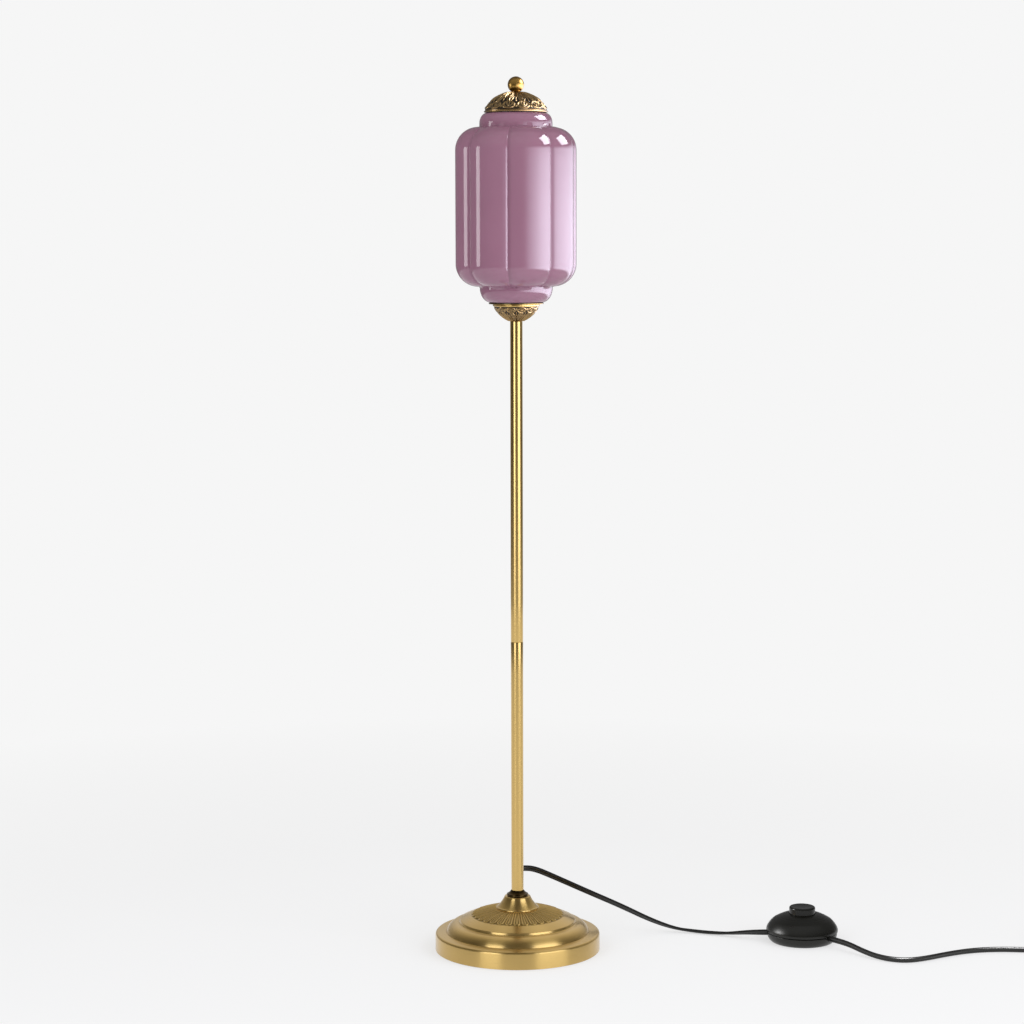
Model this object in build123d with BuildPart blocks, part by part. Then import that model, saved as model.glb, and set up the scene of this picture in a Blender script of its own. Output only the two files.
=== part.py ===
from build123d import *
import os
from math import cos, pi, radians, sin, sqrt, tan

os.makedirs("parts", exist_ok=True)

# Glass floor lamp, in millimetres. The origin is on the floor under the middle of the base,
# +Z is up and -Y is the front.

# Spun base, iron weight and felt pad
base_radius = 115.0
base_wall = 1.5
base_lift = 1.0
rim_height = 21.8
rim_round = 3.5
valley_radius = 100.0
valley_rise = 0.7
ogee_radius = 83.0
ogee_height = 38.7
ogee_bulge = 3.5
lip_radius = 80.4
lip_height = 42.6
lip_slope = 0.9
dome_height = 58.0
dome_bulge = 1.8
seat_radius = 31.5
petals = 32
petal_relief = 0.7
petal_reach = 64.5
petal_share = 0.86
petal_edge = 1.2
petal_rib = 0.9
petal_gap = 0.6
pad_height = 2.5
pad_inner_radius = 62.0
weight_gap = 1.0
weight_edge_height = 13.0
weight_hub_radius = 21.0
weight_recess_radius = 22.0
weight_recess_depth = 12.0

# Neck between base and pole
cone_foot_radius = 29.8
cone_top_radius = 18.4
cone_height = 18.0
cone_bead = 2.4
cone_flare = 0.8
cone_wall = 2.0
collar_radius = 15.0
collar_height = 8.3
collar_foot_radius = 13.2
collar_bead = 3.2
collar_flare = 0.5

# Pole in two tubes
pole_radius = 8.5
pole_wall = 1.2
lower_pole_length = 358.5
upper_pole_length = 443.0
joint_gap = 0.6
joint_ring_inset = 0.5
coupling_length = 40.0
bush_length = 20.0
fit_gap = 0.05

# Threaded tubes and nuts that clamp the stack
nipple_radius = 5.0
nipple_bore = 3.4
nipple_clearance = 0.2
nipple_tail = 2.0
nut_flats = 14.0
nut_height = 4.5
washer_radius = 14.0
washer_height = 1.6

# Flex bushing at the back of the pole
bushing_height = 104.0
bushing_radius = 5.4
bushing_flange_radius = 7.6
bushing_flange = 2.4
bushing_length = 17.5
bushing_tip_radius = 4.7
relief_grooves = 4
relief_groove_width = 1.2
relief_groove_depth = 0.6
relief_groove_pitch = 2.6

# Cup, ring and plate under the shade
cup_foot_radius = 9.4
cup_rim_radius = 31.6
cup_height = 20.4
cup_wall = 1.5
cup_swell_radius = 25.0
cup_swell_height = 10.9
ring_radius = 32.2
ring_height = 3.2
plate_radius = 37.6
plate_height = 1.3
gasket_height = 0.8
gasket_margin = 0.5

# Glass shade of eight lobes
lobes = 8
lobe_radius = 45.6
lobe_offset = 38.1
lobe_turn = 14.0
shoulder_round = 31.0
glass_wall = 3.5
shade_body_height = 215.8
upper_neck_radius = 50.1
upper_neck_height = 19.1
upper_neck_round = 8.5
lower_neck_radius = 50.0
lower_neck_height = 21.8
lower_neck_round = 11.0
upper_hole_radius = 36.0
lower_hole_radius = 33.0

# Cap and finial
cap_radius = 43.3
cap_height = 27.4
cap_wall = 2.0
cap_rim_height = 2.2
cap_ledge_radius = 38.5
cap_top_radius = 9.0
cap_shoulder = (0.91, 0.376)
cap_crown = (0.661, 0.774)
finial_diameter = 23.5
finial_sink = 2.0
stud_radius = 3.0
stud_clearance = 0.2
stud_grip = 5.0
stud_end_gap = 1.0

# Harp, lamp holder and bulb
harp_half_width = 27.0
harp_wire_radius = 2.0
harp_bend = 20.0
harp_boss_radius = 6.0
harp_boss_height = 9.0
harp_boss_rise = 1.0
harp_top_drop = 8.0
saddle_width = 11.5
saddle_gap = 0.5
saddle_thickness = 2.0
holder_radius = 19.0
holder_height = 52.0
holder_wall = 2.6
holder_floor = 5.0
sleeve_radius = 14.2
sleeve_wall = 0.5
sleeve_height = 26.0
sleeve_recess = 2.0
sleeve_flange = 2.0
contact_radius = 5.0
contact_height = 6.0
contact_strip = 1.0
contact_reach = 9.0
cap_screw_radius = 13.2
cap_screw_height = 25.0
bulb_radius = 22.5
bulb_neck_height = 26.0
bulb_gap = 0.3

# Foot switch
switch_x = 403.0
switch_y = 39.0
switch_radius = 50.5
switch_seam_height = 14.0
switch_seam_gap = 0.8
switch_seam_step = 1.2
switch_foot_radius = 45.5
switch_foot_height = 1.6
switch_foot_corner = 3.0
switch_foot_swell = (1.2, 3.4)
switch_top_height = 40.0
switch_wall = 2.2
switch_band = 3.0
switch_shoulder = 17.5
switch_line_radius = 35.0
switch_line_width = 0.8
switch_line_depth = 0.4
button_radius = 18.4
button_gap = 0.4
button_top_height = 49.5
button_chamfer = 2.4
button_dish = 0.8
button_flange = 2.5
button_flange_height = 2.0
button_flange_gap = 0.6
block_radius = 32.0
block_height = 14.0
spring_pocket = 6.0
spring_wire = 1.2
spring_radius = 7.5
spring_turns = 4
spring_boss = 1.0
switch_notch_radius = 4.6
switch_port_angle = -46.0
screw_radius = 1.5
screw_head_radius = 2.9
screw_head_height = 1.2
screw_length = 14.0
screw_circle = 36.5
screw_start = 90.0
boss_radius = 3.2
rubber_foot_radius = 4.5
rubber_foot_circle = 36.0

# Flex: an equivalent round section of the flat twin lead
cord_width = 8.6
cord_radius = 3.1
cord_end_sink = 1.0
pole_flex_radius = 3.1
switch_cord_height = 12.0

# Coil of the spare flex, its tie and the plug
coil_x = 800.0
coil_y = 14.0
coil_mean_radius = 47.5
coil_section_width = 12.4
coil_section_height = 17.6
coil_lift = 0.9
coil_round = 4.0
tie_width = 11.0
tie_thickness = 0.7
tie_gap = 0.1
plug_x = 852.0
plug_y = 58.0
plug_relief_length = 22.0
plug_relief_tip_radius = 4.9
plug_length = 36.0
plug_width = 35.3
plug_thickness = 13.7
plug_back_width = 21.9
plug_corner = 6.2
plug_relief_step = 0.4
plug_pin_radius = 2.0
plug_pin_length = 19.0
plug_pin_spacing = 19.0

# Heights of the stack, from the floor up
neck_height = dome_height + cone_height
lower_pole_top = neck_height + lower_pole_length
upper_pole_foot = lower_pole_top + joint_gap
pole_top = upper_pole_foot + upper_pole_length
cup_rim_height = pole_top + cup_height
plate_bottom = cup_rim_height + ring_height
plate_top = plate_bottom + plate_height
glass_bottom = plate_top + gasket_height
shade_body_bottom = glass_bottom + lower_neck_height
shade_body_top = shade_body_bottom + shade_body_height
glass_top = shade_body_top + upper_neck_height
cap_bottom = glass_top + gasket_height
cap_top = cap_bottom + cap_height
finial_centre = cap_top - finial_sink + finial_diameter / 2
pole_bore = pole_radius - pole_wall
nipple_hole = nipple_radius + nipple_clearance


def threaded_tube(bottom, top):
    """A plain tube of the nipple's outside size between two heights."""
    with BuildPart() as tube:
        with BuildSketch(Plane.XY.offset(bottom)):
            Circle(nipple_radius)
            Circle(nipple_bore, mode=Mode.SUBTRACT)
        extrude(amount=top - bottom)
    return tube.part


def hex_nut(bottom):
    """A six sided nut that rests on the given height."""
    with BuildPart() as nut:
        with BuildSketch(Plane.XY.offset(bottom)):
            RegularPolygon(nut_flats / 2, 6, major_radius=False)
            Circle(nipple_radius + fit_gap, mode=Mode.SUBTRACT)
        extrude(amount=nut_height)
    return nut.part


def ring(inner, outer, bottom, height):
    """A flat ring about the lamp's axis."""
    with BuildPart() as flat_ring:
        with BuildSketch(Plane.XY.offset(bottom)):
            Circle(outer)
            Circle(inner, mode=Mode.SUBTRACT)
        extrude(amount=height)
    return flat_ring.part


# Base: stepped dome, revolved, with the inside at one wall from the outside
def base_form(inset, bottom):
    """The base's solid form, every face moved inwards by inset."""
    ogee_run = valley_radius - ogee_radius
    ogee_rise = ogee_height - rim_height - rim_round - valley_rise
    slant = sqrt(ogee_run**2 + ogee_rise**2)
    across, up = ogee_rise / slant, ogee_run / slant
    valley = (valley_radius - inset, rim_height + rim_round + valley_rise - inset)
    swell = (
        (valley_radius + ogee_radius) / 2 + (ogee_bulge - inset) * across,
        ogee_height - ogee_rise / 2 + (ogee_bulge - inset) * up,
    )
    crown = ((lip_radius + seat_radius) / 2, (lip_height + dome_height) / 2 + dome_bulge - inset)
    with BuildPart() as form:
        with BuildSketch(Plane.XZ):
            with BuildLine():
                wall = Line((base_radius - inset, bottom), (base_radius - inset, rim_height))
                edge = RadiusArc(
                    wall @ 1,
                    (base_radius - rim_round, rim_height + rim_round - inset),
                    -(rim_round - inset),
                )
                Line(edge @ 1, valley)
                ogee = ThreePointArc(valley, swell, (ogee_radius - inset, ogee_height - inset))
                Polyline(
                    ogee @ 1,
                    (lip_radius + lip_slope - inset, ogee_height + lip_slope - inset),
                    (lip_radius - inset, lip_height - inset),
                )
                dome = ThreePointArc(
                    (lip_radius - inset, lip_height - inset), crown, (seat_radius, dome_height - inset)
                )
                Polyline(dome @ 1, (0, dome_height - inset), (0, bottom), (base_radius - inset, bottom))
            make_face()
        revolve(axis=Axis.Z)
    return form.part


# Petals pressed up out of the dome: each is a tapered outline with a round tip and a rib up its middle
petal_start = cone_foot_radius + petal_gap
petal_flare = petal_share * sin(pi / petals)
petal_tip = petal_reach / (1 + petal_flare)
with BuildSketch() as petal:
    with BuildLine():
        side = Line((petal_start, -petal_start * petal_flare), (petal_tip, -petal_tip * petal_flare))
        tip = RadiusArc(side @ 1, (petal_tip, petal_tip * petal_flare), -petal_tip * petal_flare)
        Polyline(tip @ 1, (petal_start, petal_start * petal_flare), side @ 0)
    make_face()
    offset(amount=-petal_edge, mode=Mode.SUBTRACT)
    with Locations(((petal_start + petal_reach) / 2, 0)):
        Rectangle(petal_reach - petal_start - petal_edge, petal_rib)
with BuildPart() as petal_ring:
    with BuildSketch(Plane.XY.offset(lip_height)):
        with PolarLocations(0, petals):
            add(petal.sketch)
    extrude(amount=dome_height)
    add(base_form(-petal_relief, base_lift), mode=Mode.INTERSECT)
    add(base_form(base_wall / 2, 0), mode=Mode.SUBTRACT)
with BuildPart() as base_shell:
    add(base_form(0, base_lift))
    add(base_form(base_wall, 0), mode=Mode.SUBTRACT)
    add(petal_ring.part)
    Cylinder(
        nipple_hole, dome_height + base_wall, align=(Align.CENTER, Align.CENTER, Align.MIN), mode=Mode.SUBTRACT
    )
base_shell.part.label = "base_shell"
export_step(base_shell.part, "parts/base_shell.step")

# Iron weight: a stepped disc whose hub carries the shell's seat
weight_radius = base_radius - base_wall - weight_gap
hub_top = dome_height - base_wall
with BuildPart() as base_weight:
    with BuildSketch(Plane.XZ):
        with BuildLine():
            Polyline(
                (0, pad_height),
                (weight_radius, pad_height),
                (weight_radius, pad_height + weight_edge_height),
                (lip_radius - base_wall - weight_gap, ogee_height - ogee_bulge - base_wall - weight_gap),
                (weight_hub_radius * 2, ogee_height),
                (weight_hub_radius, ogee_height + weight_gap),
                (weight_hub_radius, hub_top),
                (0, hub_top),
                (0, pad_height),
            )
        make_face()
    revolve(axis=Axis.Z)
    with BuildSketch(Plane.XY.offset(pad_height)):
        Circle(weight_recess_radius)
    extrude(amount=weight_recess_depth, mode=Mode.SUBTRACT)
    Cylinder(
        nipple_hole, dome_height, align=(Align.CENTER, Align.CENTER, Align.MIN), mode=Mode.SUBTRACT
    )
base_weight.part.label = "base_weight"
export_step(base_weight.part, "parts/base_weight.step")

with BuildPart() as base_pad:
    add(ring(pad_inner_radius, weight_radius - weight_gap, 0, pad_height))
base_pad.part.label = "base_pad"
export_step(base_pad.part, "parts/base_pad.step")

# Nipple, washer and nut that pull the pole down on to the neck and base
recess_top = pad_height + weight_recess_depth
nut_bottom = recess_top - washer_height - nut_height
with BuildPart() as base_nipple:
    add(threaded_tube(nut_bottom - nipple_tail, neck_height + bush_length))
base_nipple.part.label = "base_nipple"
export_step(base_nipple.part, "parts/base_nipple.step")

with BuildPart() as base_washer:
    add(ring(nipple_hole, washer_radius, recess_top - washer_height, washer_height))
base_washer.part.label = "base_washer"
export_step(base_washer.part, "parts/base_washer.step")

with BuildPart() as base_nut:
    add(hex_nut(nut_bottom))
base_nut.part.label = "base_nut"
export_step(base_nut.part, "parts/base_nut.step")

# Neck cone: a flared spinning with a bead at its foot and a closed top
with BuildPart() as neck_cone:
    with BuildSketch(Plane.XZ):
        with BuildLine():
            bead = ThreePointArc(
                (cone_foot_radius - cone_bead / 2, dome_height),
                (cone_foot_radius, dome_height + cone_bead / 2),
                (cone_foot_radius - cone_bead / 2, dome_height + cone_bead),
            )
            flare = ThreePointArc(
                bead @ 1,
                (
                    (cone_foot_radius - cone_bead / 2 + cone_top_radius) / 2 - cone_flare,
                    dome_height + (cone_height + cone_bead) / 2 - cone_flare,
                ),
                (cone_top_radius, neck_height - cone_bead / 2),
            )
            lip = ThreePointArc(
                flare @ 1,
                (cone_top_radius - cone_bead / 5, neck_height - cone_bead / 5),
                (cone_top_radius - cone_bead / 2, neck_height),
            )
            Polyline(lip @ 1, (nipple_hole, neck_height), (nipple_hole, neck_height - cone_wall * 2))
            Polyline(
                (nipple_hole, neck_height - cone_wall * 2),
                (cone_top_radius - cone_wall * 2, neck_height - cone_wall * 2),
                (cone_foot_radius - cone_bead / 2 - cone_wall * 2, dome_height),
                bead @ 0,
            )
        make_face()
    revolve(axis=Axis.Z)
neck_cone.part.label = "neck_cone"
export_step(neck_cone.part, "parts/neck_cone.step")

with BuildPart() as neck_collar:
    with BuildSketch(Plane.XZ):
        with BuildLine():
            foot = Line(
                (pole_radius + fit_gap, neck_height), (collar_foot_radius, neck_height)
            )
            swell = ThreePointArc(
                foot @ 1,
                (collar_radius, neck_height + collar_bead / 2),
                (collar_radius - collar_flare, neck_height + collar_bead),
            )
            slope = ThreePointArc(
                swell @ 1,
                (
                    (collar_radius + pole_radius) / 2 - collar_flare,
                    neck_height + (collar_bead + collar_height) / 2 - collar_flare,
                ),
                (pole_radius + collar_flare, neck_height + collar_height),
            )
            Polyline(slope @ 1, (pole_radius + fit_gap, neck_height + collar_height), foot @ 0)
        make_face()
    revolve(axis=Axis.Z)
neck_collar.part.label = "neck_collar"
export_step(neck_collar.part, "parts/neck_collar.step")

# Pole: two tubes on a coupling, with a threaded bush in each far end
with BuildPart() as lower_pole:
    add(ring(pole_bore, pole_radius, neck_height, lower_pole_length))
    with BuildSketch(Plane.XZ):
        with Locations((0, bushing_height)):
            Circle(bushing_radius + fit_gap)
    extrude(amount=-2 * pole_radius, mode=Mode.SUBTRACT)
lower_pole.part.label = "lower_pole"
export_step(lower_pole.part, "parts/lower_pole.step")

with BuildPart() as upper_pole:
    add(ring(pole_bore, pole_radius, upper_pole_foot, upper_pole_length))
upper_pole.part.label = "upper_pole"
export_step(upper_pole.part, "parts/upper_pole.step")

with BuildPart() as pole_coupling:
    add(ring(nipple_radius, pole_bore - fit_gap, lower_pole_top - coupling_length / 2, coupling_length))
    add(ring(nipple_radius, pole_radius - joint_ring_inset, lower_pole_top, joint_gap))
pole_coupling.part.label = "pole_coupling"
export_step(pole_coupling.part, "parts/pole_coupling.step")

with BuildPart() as pole_foot_bush:
    add(ring(nipple_radius + fit_gap, pole_bore - fit_gap, neck_height, bush_length))
pole_foot_bush.part.label = "pole_foot_bush"
export_step(pole_foot_bush.part, "parts/pole_foot_bush.step")

with BuildPart() as pole_top_bush:
    add(ring(nipple_radius + fit_gap, pole_bore - fit_gap, pole_top - bush_length, bush_length))
pole_top_bush.part.label = "pole_top_bush"
export_step(pole_top_bush.part, "parts/pole_top_bush.step")

# Tapered bushing that carries the flex out through the back of the lower tube
bushing_end = pole_radius + bushing_length
with BuildPart() as cord_bushing:
    with BuildSketch(Plane.YZ):
        with BuildLine():
            Polyline(
                (pole_bore, bushing_height),
                (pole_bore, bushing_height + bushing_radius),
                (pole_radius + fit_gap, bushing_height + bushing_radius),
                (pole_radius + fit_gap, bushing_height + bushing_flange_radius),
                (pole_radius + bushing_flange, bushing_height + bushing_flange_radius),
                (pole_radius + bushing_flange * 2, bushing_height + bushing_radius + 1),
                (bushing_end, bushing_height + bushing_tip_radius),
                (bushing_end, bushing_height),
                (pole_bore, bushing_height),
            )
        make_face()
    revolve(axis=Axis((0, 0, bushing_height), (0, 1, 0)))
    with BuildSketch(Plane.XZ):
        with Locations((0, bushing_height)):
            Circle(cord_radius + fit_gap)
    extrude(amount=-2 * bushing_end, mode=Mode.SUBTRACT)
    for groove in range(relief_grooves):
        start = bushing_end - relief_groove_pitch * (groove + 1)
        with BuildSketch(Plane.XZ.offset(-start)):
            with Locations((0, bushing_height)):
                Circle(2 * bushing_radius)
                Circle(bushing_tip_radius - relief_groove_depth, mode=Mode.SUBTRACT)
        extrude(amount=-relief_groove_width, mode=Mode.SUBTRACT)
cord_bushing.part.label = "cord_bushing"
export_step(cord_bushing.part, "parts/cord_bushing.step")

# Cup, ring and plate that carry the shade
with BuildPart() as lower_cup:
    with BuildSketch(Plane.XZ):
        with BuildLine():
            bowl = ThreePointArc(
                (cup_foot_radius, pole_top), (cup_swell_radius, pole_top + cup_swell_height), (cup_rim_radius, cup_rim_height)
            )
            inside = ThreePointArc(
                (cup_foot_radius - 1, pole_top + cup_wall),
                (cup_swell_radius - cup_wall * 0.8, pole_top + cup_swell_height + cup_wall * 0.6),
                (cup_rim_radius - cup_wall, cup_rim_height),
            )
            Line(bowl @ 1, inside @ 1)
            Polyline(inside @ 0, (nipple_hole, pole_top + cup_wall), (nipple_hole, pole_top), bowl @ 0)
        make_face()
    revolve(axis=Axis.Z)
lower_cup.part.label = "lower_cup"
export_step(lower_cup.part, "parts/lower_cup.step")

with BuildPart() as gallery_ring:
    add(ring(nipple_hole, ring_radius, cup_rim_height, ring_height))
    fillet(gallery_ring.edges().filter_by(GeomType.CIRCLE).sort_by(SortBy.RADIUS)[-2:], radius=ring_height * 0.4)
gallery_ring.part.label = "gallery_ring"
export_step(gallery_ring.part, "parts/gallery_ring.step")

with BuildPart() as gallery_plate:
    add(ring(nipple_hole, plate_radius, plate_bottom, plate_height))
gallery_plate.part.label = "gallery_plate"
export_step(gallery_plate.part, "parts/gallery_plate.step")

with BuildPart() as shade_gasket:
    add(ring(lower_hole_radius + gasket_margin, plate_radius - gasket_margin, plate_top, gasket_height))
shade_gasket.part.label = "shade_gasket"
export_step(shade_gasket.part, "parts/shade_gasket.step")


# Glass shade: eight upright drums with rounded shoulders that meet in creases, and two necks
def lobed_body(inset):
    """Eight rounded drums, each cut to its own slice, inset by the wall for the inside."""
    height = shade_body_height - 2 * inset
    reach = 2 * (lobe_offset + lobe_radius)
    with BuildPart() as lobe:
        with Locations((lobe_offset, 0, shade_body_bottom + inset)):
            Cylinder(lobe_radius - inset, height, align=(Align.CENTER, Align.CENTER, Align.MIN))
        fillet(lobe.edges().filter_by(GeomType.CIRCLE), radius=shoulder_round - inset)
        with BuildSketch(Plane.XY.offset(shade_body_bottom)):
            with BuildLine():
                half = reach * tan(radians(180 / lobes))
                Polyline((0, 0), (reach, -half), (reach, half), (0, 0))
            make_face()
        extrude(amount=shade_body_height, mode=Mode.INTERSECT)
    with BuildPart() as body:
        with PolarLocations(0, lobes, start_angle=lobe_turn):
            add(lobe.part)
    return body.part


with BuildPart() as upper_neck:
    with Locations((0, 0, glass_top)):
        Cylinder(
            upper_neck_radius,
            upper_neck_height + glass_wall,
            align=(Align.CENTER, Align.CENTER, Align.MAX),
        )
    fillet(upper_neck.edges().group_by(Axis.Z)[-1], radius=upper_neck_round)

with BuildPart() as lower_neck:
    with Locations((0, 0, glass_bottom)):
        Cylinder(
            lower_neck_radius,
            lower_neck_height + glass_wall,
            align=(Align.CENTER, Align.CENTER, Align.MIN),
        )
    fillet(lower_neck.edges().group_by(Axis.Z)[0], radius=lower_neck_round)

with BuildPart() as upper_neck_inside:
    with Locations((0, 0, glass_top - glass_wall)):
        Cylinder(
            upper_neck_radius - glass_wall,
            upper_neck_height + shoulder_round,
            align=(Align.CENTER, Align.CENTER, Align.MAX),
        )
    fillet(upper_neck_inside.edges().group_by(Axis.Z)[-1], radius=upper_neck_round - glass_wall)

with BuildPart() as lower_neck_inside:
    with Locations((0, 0, glass_bottom + glass_wall)):
        Cylinder(
            lower_neck_radius - glass_wall,
            lower_neck_height + shoulder_round,
            align=(Align.CENTER, Align.CENTER, Align.MIN),
        )
    fillet(lower_neck_inside.edges().group_by(Axis.Z)[0], radius=lower_neck_round - glass_wall)

with BuildPart() as glass_shade:
    add(lobed_body(0))
    add(upper_neck.part)
    add(lower_neck.part)
    add(lobed_body(glass_wall), mode=Mode.SUBTRACT)
    add(upper_neck_inside.part, mode=Mode.SUBTRACT)
    add(lower_neck_inside.part, mode=Mode.SUBTRACT)
    with Locations((0, 0, glass_top)):
        Cylinder(upper_hole_radius, 4 * glass_wall, mode=Mode.SUBTRACT)
    with Locations((0, 0, glass_bottom)):
        Cylinder(lower_hole_radius, 4 * glass_wall, mode=Mode.SUBTRACT)
glass_shade.part.label = "glass_shade"
export_step(glass_shade.part, "parts/glass_shade.step")

# Cap, its gasket and the ball finial
with BuildPart() as cap_gasket:
    add(ring(upper_hole_radius + gasket_margin, upper_neck_radius - upper_neck_round, glass_top, gasket_height))
cap_gasket.part.label = "cap_gasket"
export_step(cap_gasket.part, "parts/cap_gasket.step")

rim_top = cap_bottom + cap_rim_height
with BuildPart() as top_cap:
    with BuildSketch(Plane.XZ):
        with BuildLine():
            rim = Line((cap_radius, cap_bottom), (cap_radius, rim_top))
            dome = Spline(
                rim @ 1,
                (cap_radius * cap_shoulder[0], cap_bottom + cap_height * cap_shoulder[1]),
                (cap_radius * cap_crown[0], cap_bottom + cap_height * cap_crown[1]),
                (cap_top_radius, cap_top),
                tangents=((0, 1), (-1, 0)),
            )
            Polyline(dome @ 1, (0, cap_top), (0, cap_top - cap_wall), (cap_top_radius, cap_top - cap_wall))
            under = Spline(
                (cap_top_radius, cap_top - cap_wall),
                (
                    cap_radius * cap_crown[0] - cap_wall * 0.55,
                    cap_bottom + cap_height * cap_crown[1] - cap_wall * 0.9,
                ),
                (
                    cap_radius * cap_shoulder[0] - cap_wall,
                    cap_bottom + cap_height * cap_shoulder[1] - cap_wall * 0.3,
                ),
                (cap_radius - cap_wall, rim_top),
                tangents=((1, 0), (0, -1)),
            )
            Polyline(
                under @ 1,
                (cap_ledge_radius, rim_top),
                (cap_ledge_radius, cap_bottom),
                rim @ 0,
            )
        make_face()
    revolve(axis=Axis.Z)
    with Locations((0, 0, cap_top)):
        Cylinder(stud_radius + stud_clearance, 4 * cap_wall, mode=Mode.SUBTRACT)
top_cap.part.label = "top_cap"
export_step(top_cap.part, "parts/top_cap.step")

stud_top = cap_top + stud_grip
with BuildPart() as finial_ball:
    with Locations((0, 0, finial_centre)):
        Sphere(finial_diameter / 2)
    split(bisect_by=Plane.XY.offset(cap_top), keep=Keep.TOP)
    with BuildSketch(Plane.XY.offset(cap_top)):
        Circle(stud_radius + fit_gap)
    extrude(amount=stud_grip + stud_end_gap, mode=Mode.SUBTRACT)
finial_ball.part.label = "finial_ball"
export_step(finial_ball.part, "parts/finial_ball.step")

# Harp: one bent wire with a boss at its top, standing on a saddle
saddle_top = plate_top + saddle_thickness
harp_top = cap_top - cap_wall - harp_top_drop
boss_top = harp_top + harp_wire_radius + harp_boss_rise
boss_bottom = boss_top - harp_boss_height
with BuildPart() as harp_saddle:
    with BuildSketch(Plane.XY.offset(plate_top)):
        SlotCenterToCenter(2 * harp_half_width, 2 * (lower_hole_radius - harp_half_width - saddle_gap))
        Circle(saddle_width)
        Circle(nipple_hole, mode=Mode.SUBTRACT)
    extrude(amount=saddle_thickness)
harp_saddle.part.label = "harp_saddle"
export_step(harp_saddle.part, "parts/harp_saddle.step")

with BuildPart() as harp_frame:
    with BuildLine():
        harp_path = FilletPolyline(
            (-harp_half_width, 0, saddle_top),
            (-harp_half_width, 0, harp_top),
            (harp_half_width, 0, harp_top),
            (harp_half_width, 0, saddle_top),
            radius=harp_bend,
        )
    with BuildSketch(Plane(origin=harp_path @ 0, z_dir=harp_path % 0)):
        Circle(harp_wire_radius)
    sweep()
    with Locations((0, 0, boss_bottom)):
        Cylinder(harp_boss_radius, harp_boss_height, align=(Align.CENTER, Align.CENTER, Align.MIN))
    with Locations((0, 0, harp_top)):
        Cylinder(stud_radius + fit_gap, 4 * harp_boss_height, mode=Mode.SUBTRACT)
harp_frame.part.label = "harp_frame"
export_step(harp_frame.part, "parts/harp_frame.step")

with BuildPart() as finial_stud:
    with BuildSketch(Plane.XY.offset(boss_bottom)):
        Circle(stud_radius)
    extrude(amount=stud_top - boss_bottom)
finial_stud.part.label = "finial_stud"
export_step(finial_stud.part, "parts/finial_stud.step")

# Nipple and lock nut through cup, ring, plate and saddle
holder_bottom = saddle_top + nut_height
with BuildPart() as top_nipple:
    add(threaded_tube(pole_top - bush_length, holder_bottom + holder_floor))
top_nipple.part.label = "top_nipple"
export_step(top_nipple.part, "parts/top_nipple.step")

with BuildPart() as lock_nut:
    add(hex_nut(saddle_top))
lock_nut.part.label = "lock_nut"
export_step(lock_nut.part, "parts/lock_nut.step")

# Lamp holder: outer shell, screw sleeve and centre contact
with BuildPart() as lamp_holder:
    with Locations((0, 0, holder_bottom)):
        Cylinder(holder_radius, holder_height, align=(Align.CENTER, Align.CENTER, Align.MIN))
    fillet(lamp_holder.edges().group_by(Axis.Z)[0], radius=holder_wall * 2)
    with BuildSketch(Plane.XY.offset(holder_bottom + holder_floor)):
        Circle(holder_radius - holder_wall)
    extrude(amount=holder_height, mode=Mode.SUBTRACT)
    with Locations((0, 0, holder_bottom)):
        Cylinder(nipple_radius + fit_gap, 4 * holder_floor, mode=Mode.SUBTRACT)
lamp_holder.part.label = "lamp_holder"
export_step(lamp_holder.part, "parts/lamp_holder.step")

sleeve_top = holder_bottom + holder_height - sleeve_recess
sleeve_bottom = sleeve_top - sleeve_height
contact_top = sleeve_bottom + contact_height
with BuildPart() as holder_insulator:
    with BuildSketch(Plane.XY.offset(holder_bottom + holder_floor)):
        Circle(holder_radius - holder_wall - fit_gap)
        Circle(nipple_radius + 1, mode=Mode.SUBTRACT)
    extrude(amount=sleeve_bottom - holder_bottom - holder_floor)
holder_insulator.part.label = "holder_insulator"
export_step(holder_insulator.part, "parts/holder_insulator.step")

with BuildPart() as holder_sleeve:
    add(ring(sleeve_radius - sleeve_wall, sleeve_radius, sleeve_bottom, sleeve_height))
    add(ring(sleeve_radius, holder_radius - holder_wall - fit_gap, sleeve_bottom, sleeve_flange))
holder_sleeve.part.label = "holder_sleeve"
export_step(holder_sleeve.part, "parts/holder_sleeve.step")

with BuildPart() as holder_contact:
    with BuildSketch(Plane.XY.offset(sleeve_bottom)):
        Rectangle(2 * contact_reach, contact_radius)
    extrude(amount=contact_strip)
    with BuildSketch(Plane.XY.offset(sleeve_bottom + contact_strip)):
        Circle(contact_radius)
    extrude(amount=contact_height - contact_strip, taper=20)
holder_contact.part.label = "holder_contact"
export_step(holder_contact.part, "parts/holder_contact.step")

# Bulb: metal screw cap and round glass
cap_screw_bottom = contact_top + bulb_gap
bulb_seat = cap_screw_bottom + cap_screw_height
bulb_centre = bulb_seat + bulb_neck_height
with BuildPart() as bulb_cap:
    with BuildSketch(Plane.XZ):
        with BuildLine():
            Polyline(
                (0, cap_screw_bottom),
                (contact_radius, cap_screw_bottom),
                (cap_screw_radius, cap_screw_bottom + contact_radius),
                (cap_screw_radius, bulb_seat),
                (0, bulb_seat),
                (0, cap_screw_bottom),
            )
        make_face()
    revolve(axis=Axis.Z)
bulb_cap.part.label = "bulb_cap"
export_step(bulb_cap.part, "parts/bulb_cap.step")

with BuildPart() as bulb_glass:
    with BuildSketch(Plane.XZ):
        with BuildLine():
            neck = Spline(
                (cap_screw_radius - 1, bulb_seat),
                (bulb_radius, bulb_centre),
                tangents=((0, 1), (0, 1)),
            )
            crown = RadiusArc(neck @ 1, (0, bulb_centre + bulb_radius), -bulb_radius)
            Polyline(crown @ 1, (0, bulb_seat), neck @ 0)
        make_face()
    revolve(axis=Axis.Z)
bulb_glass.part.label = "bulb_glass"
export_step(bulb_glass.part, "parts/bulb_glass.step")


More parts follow.
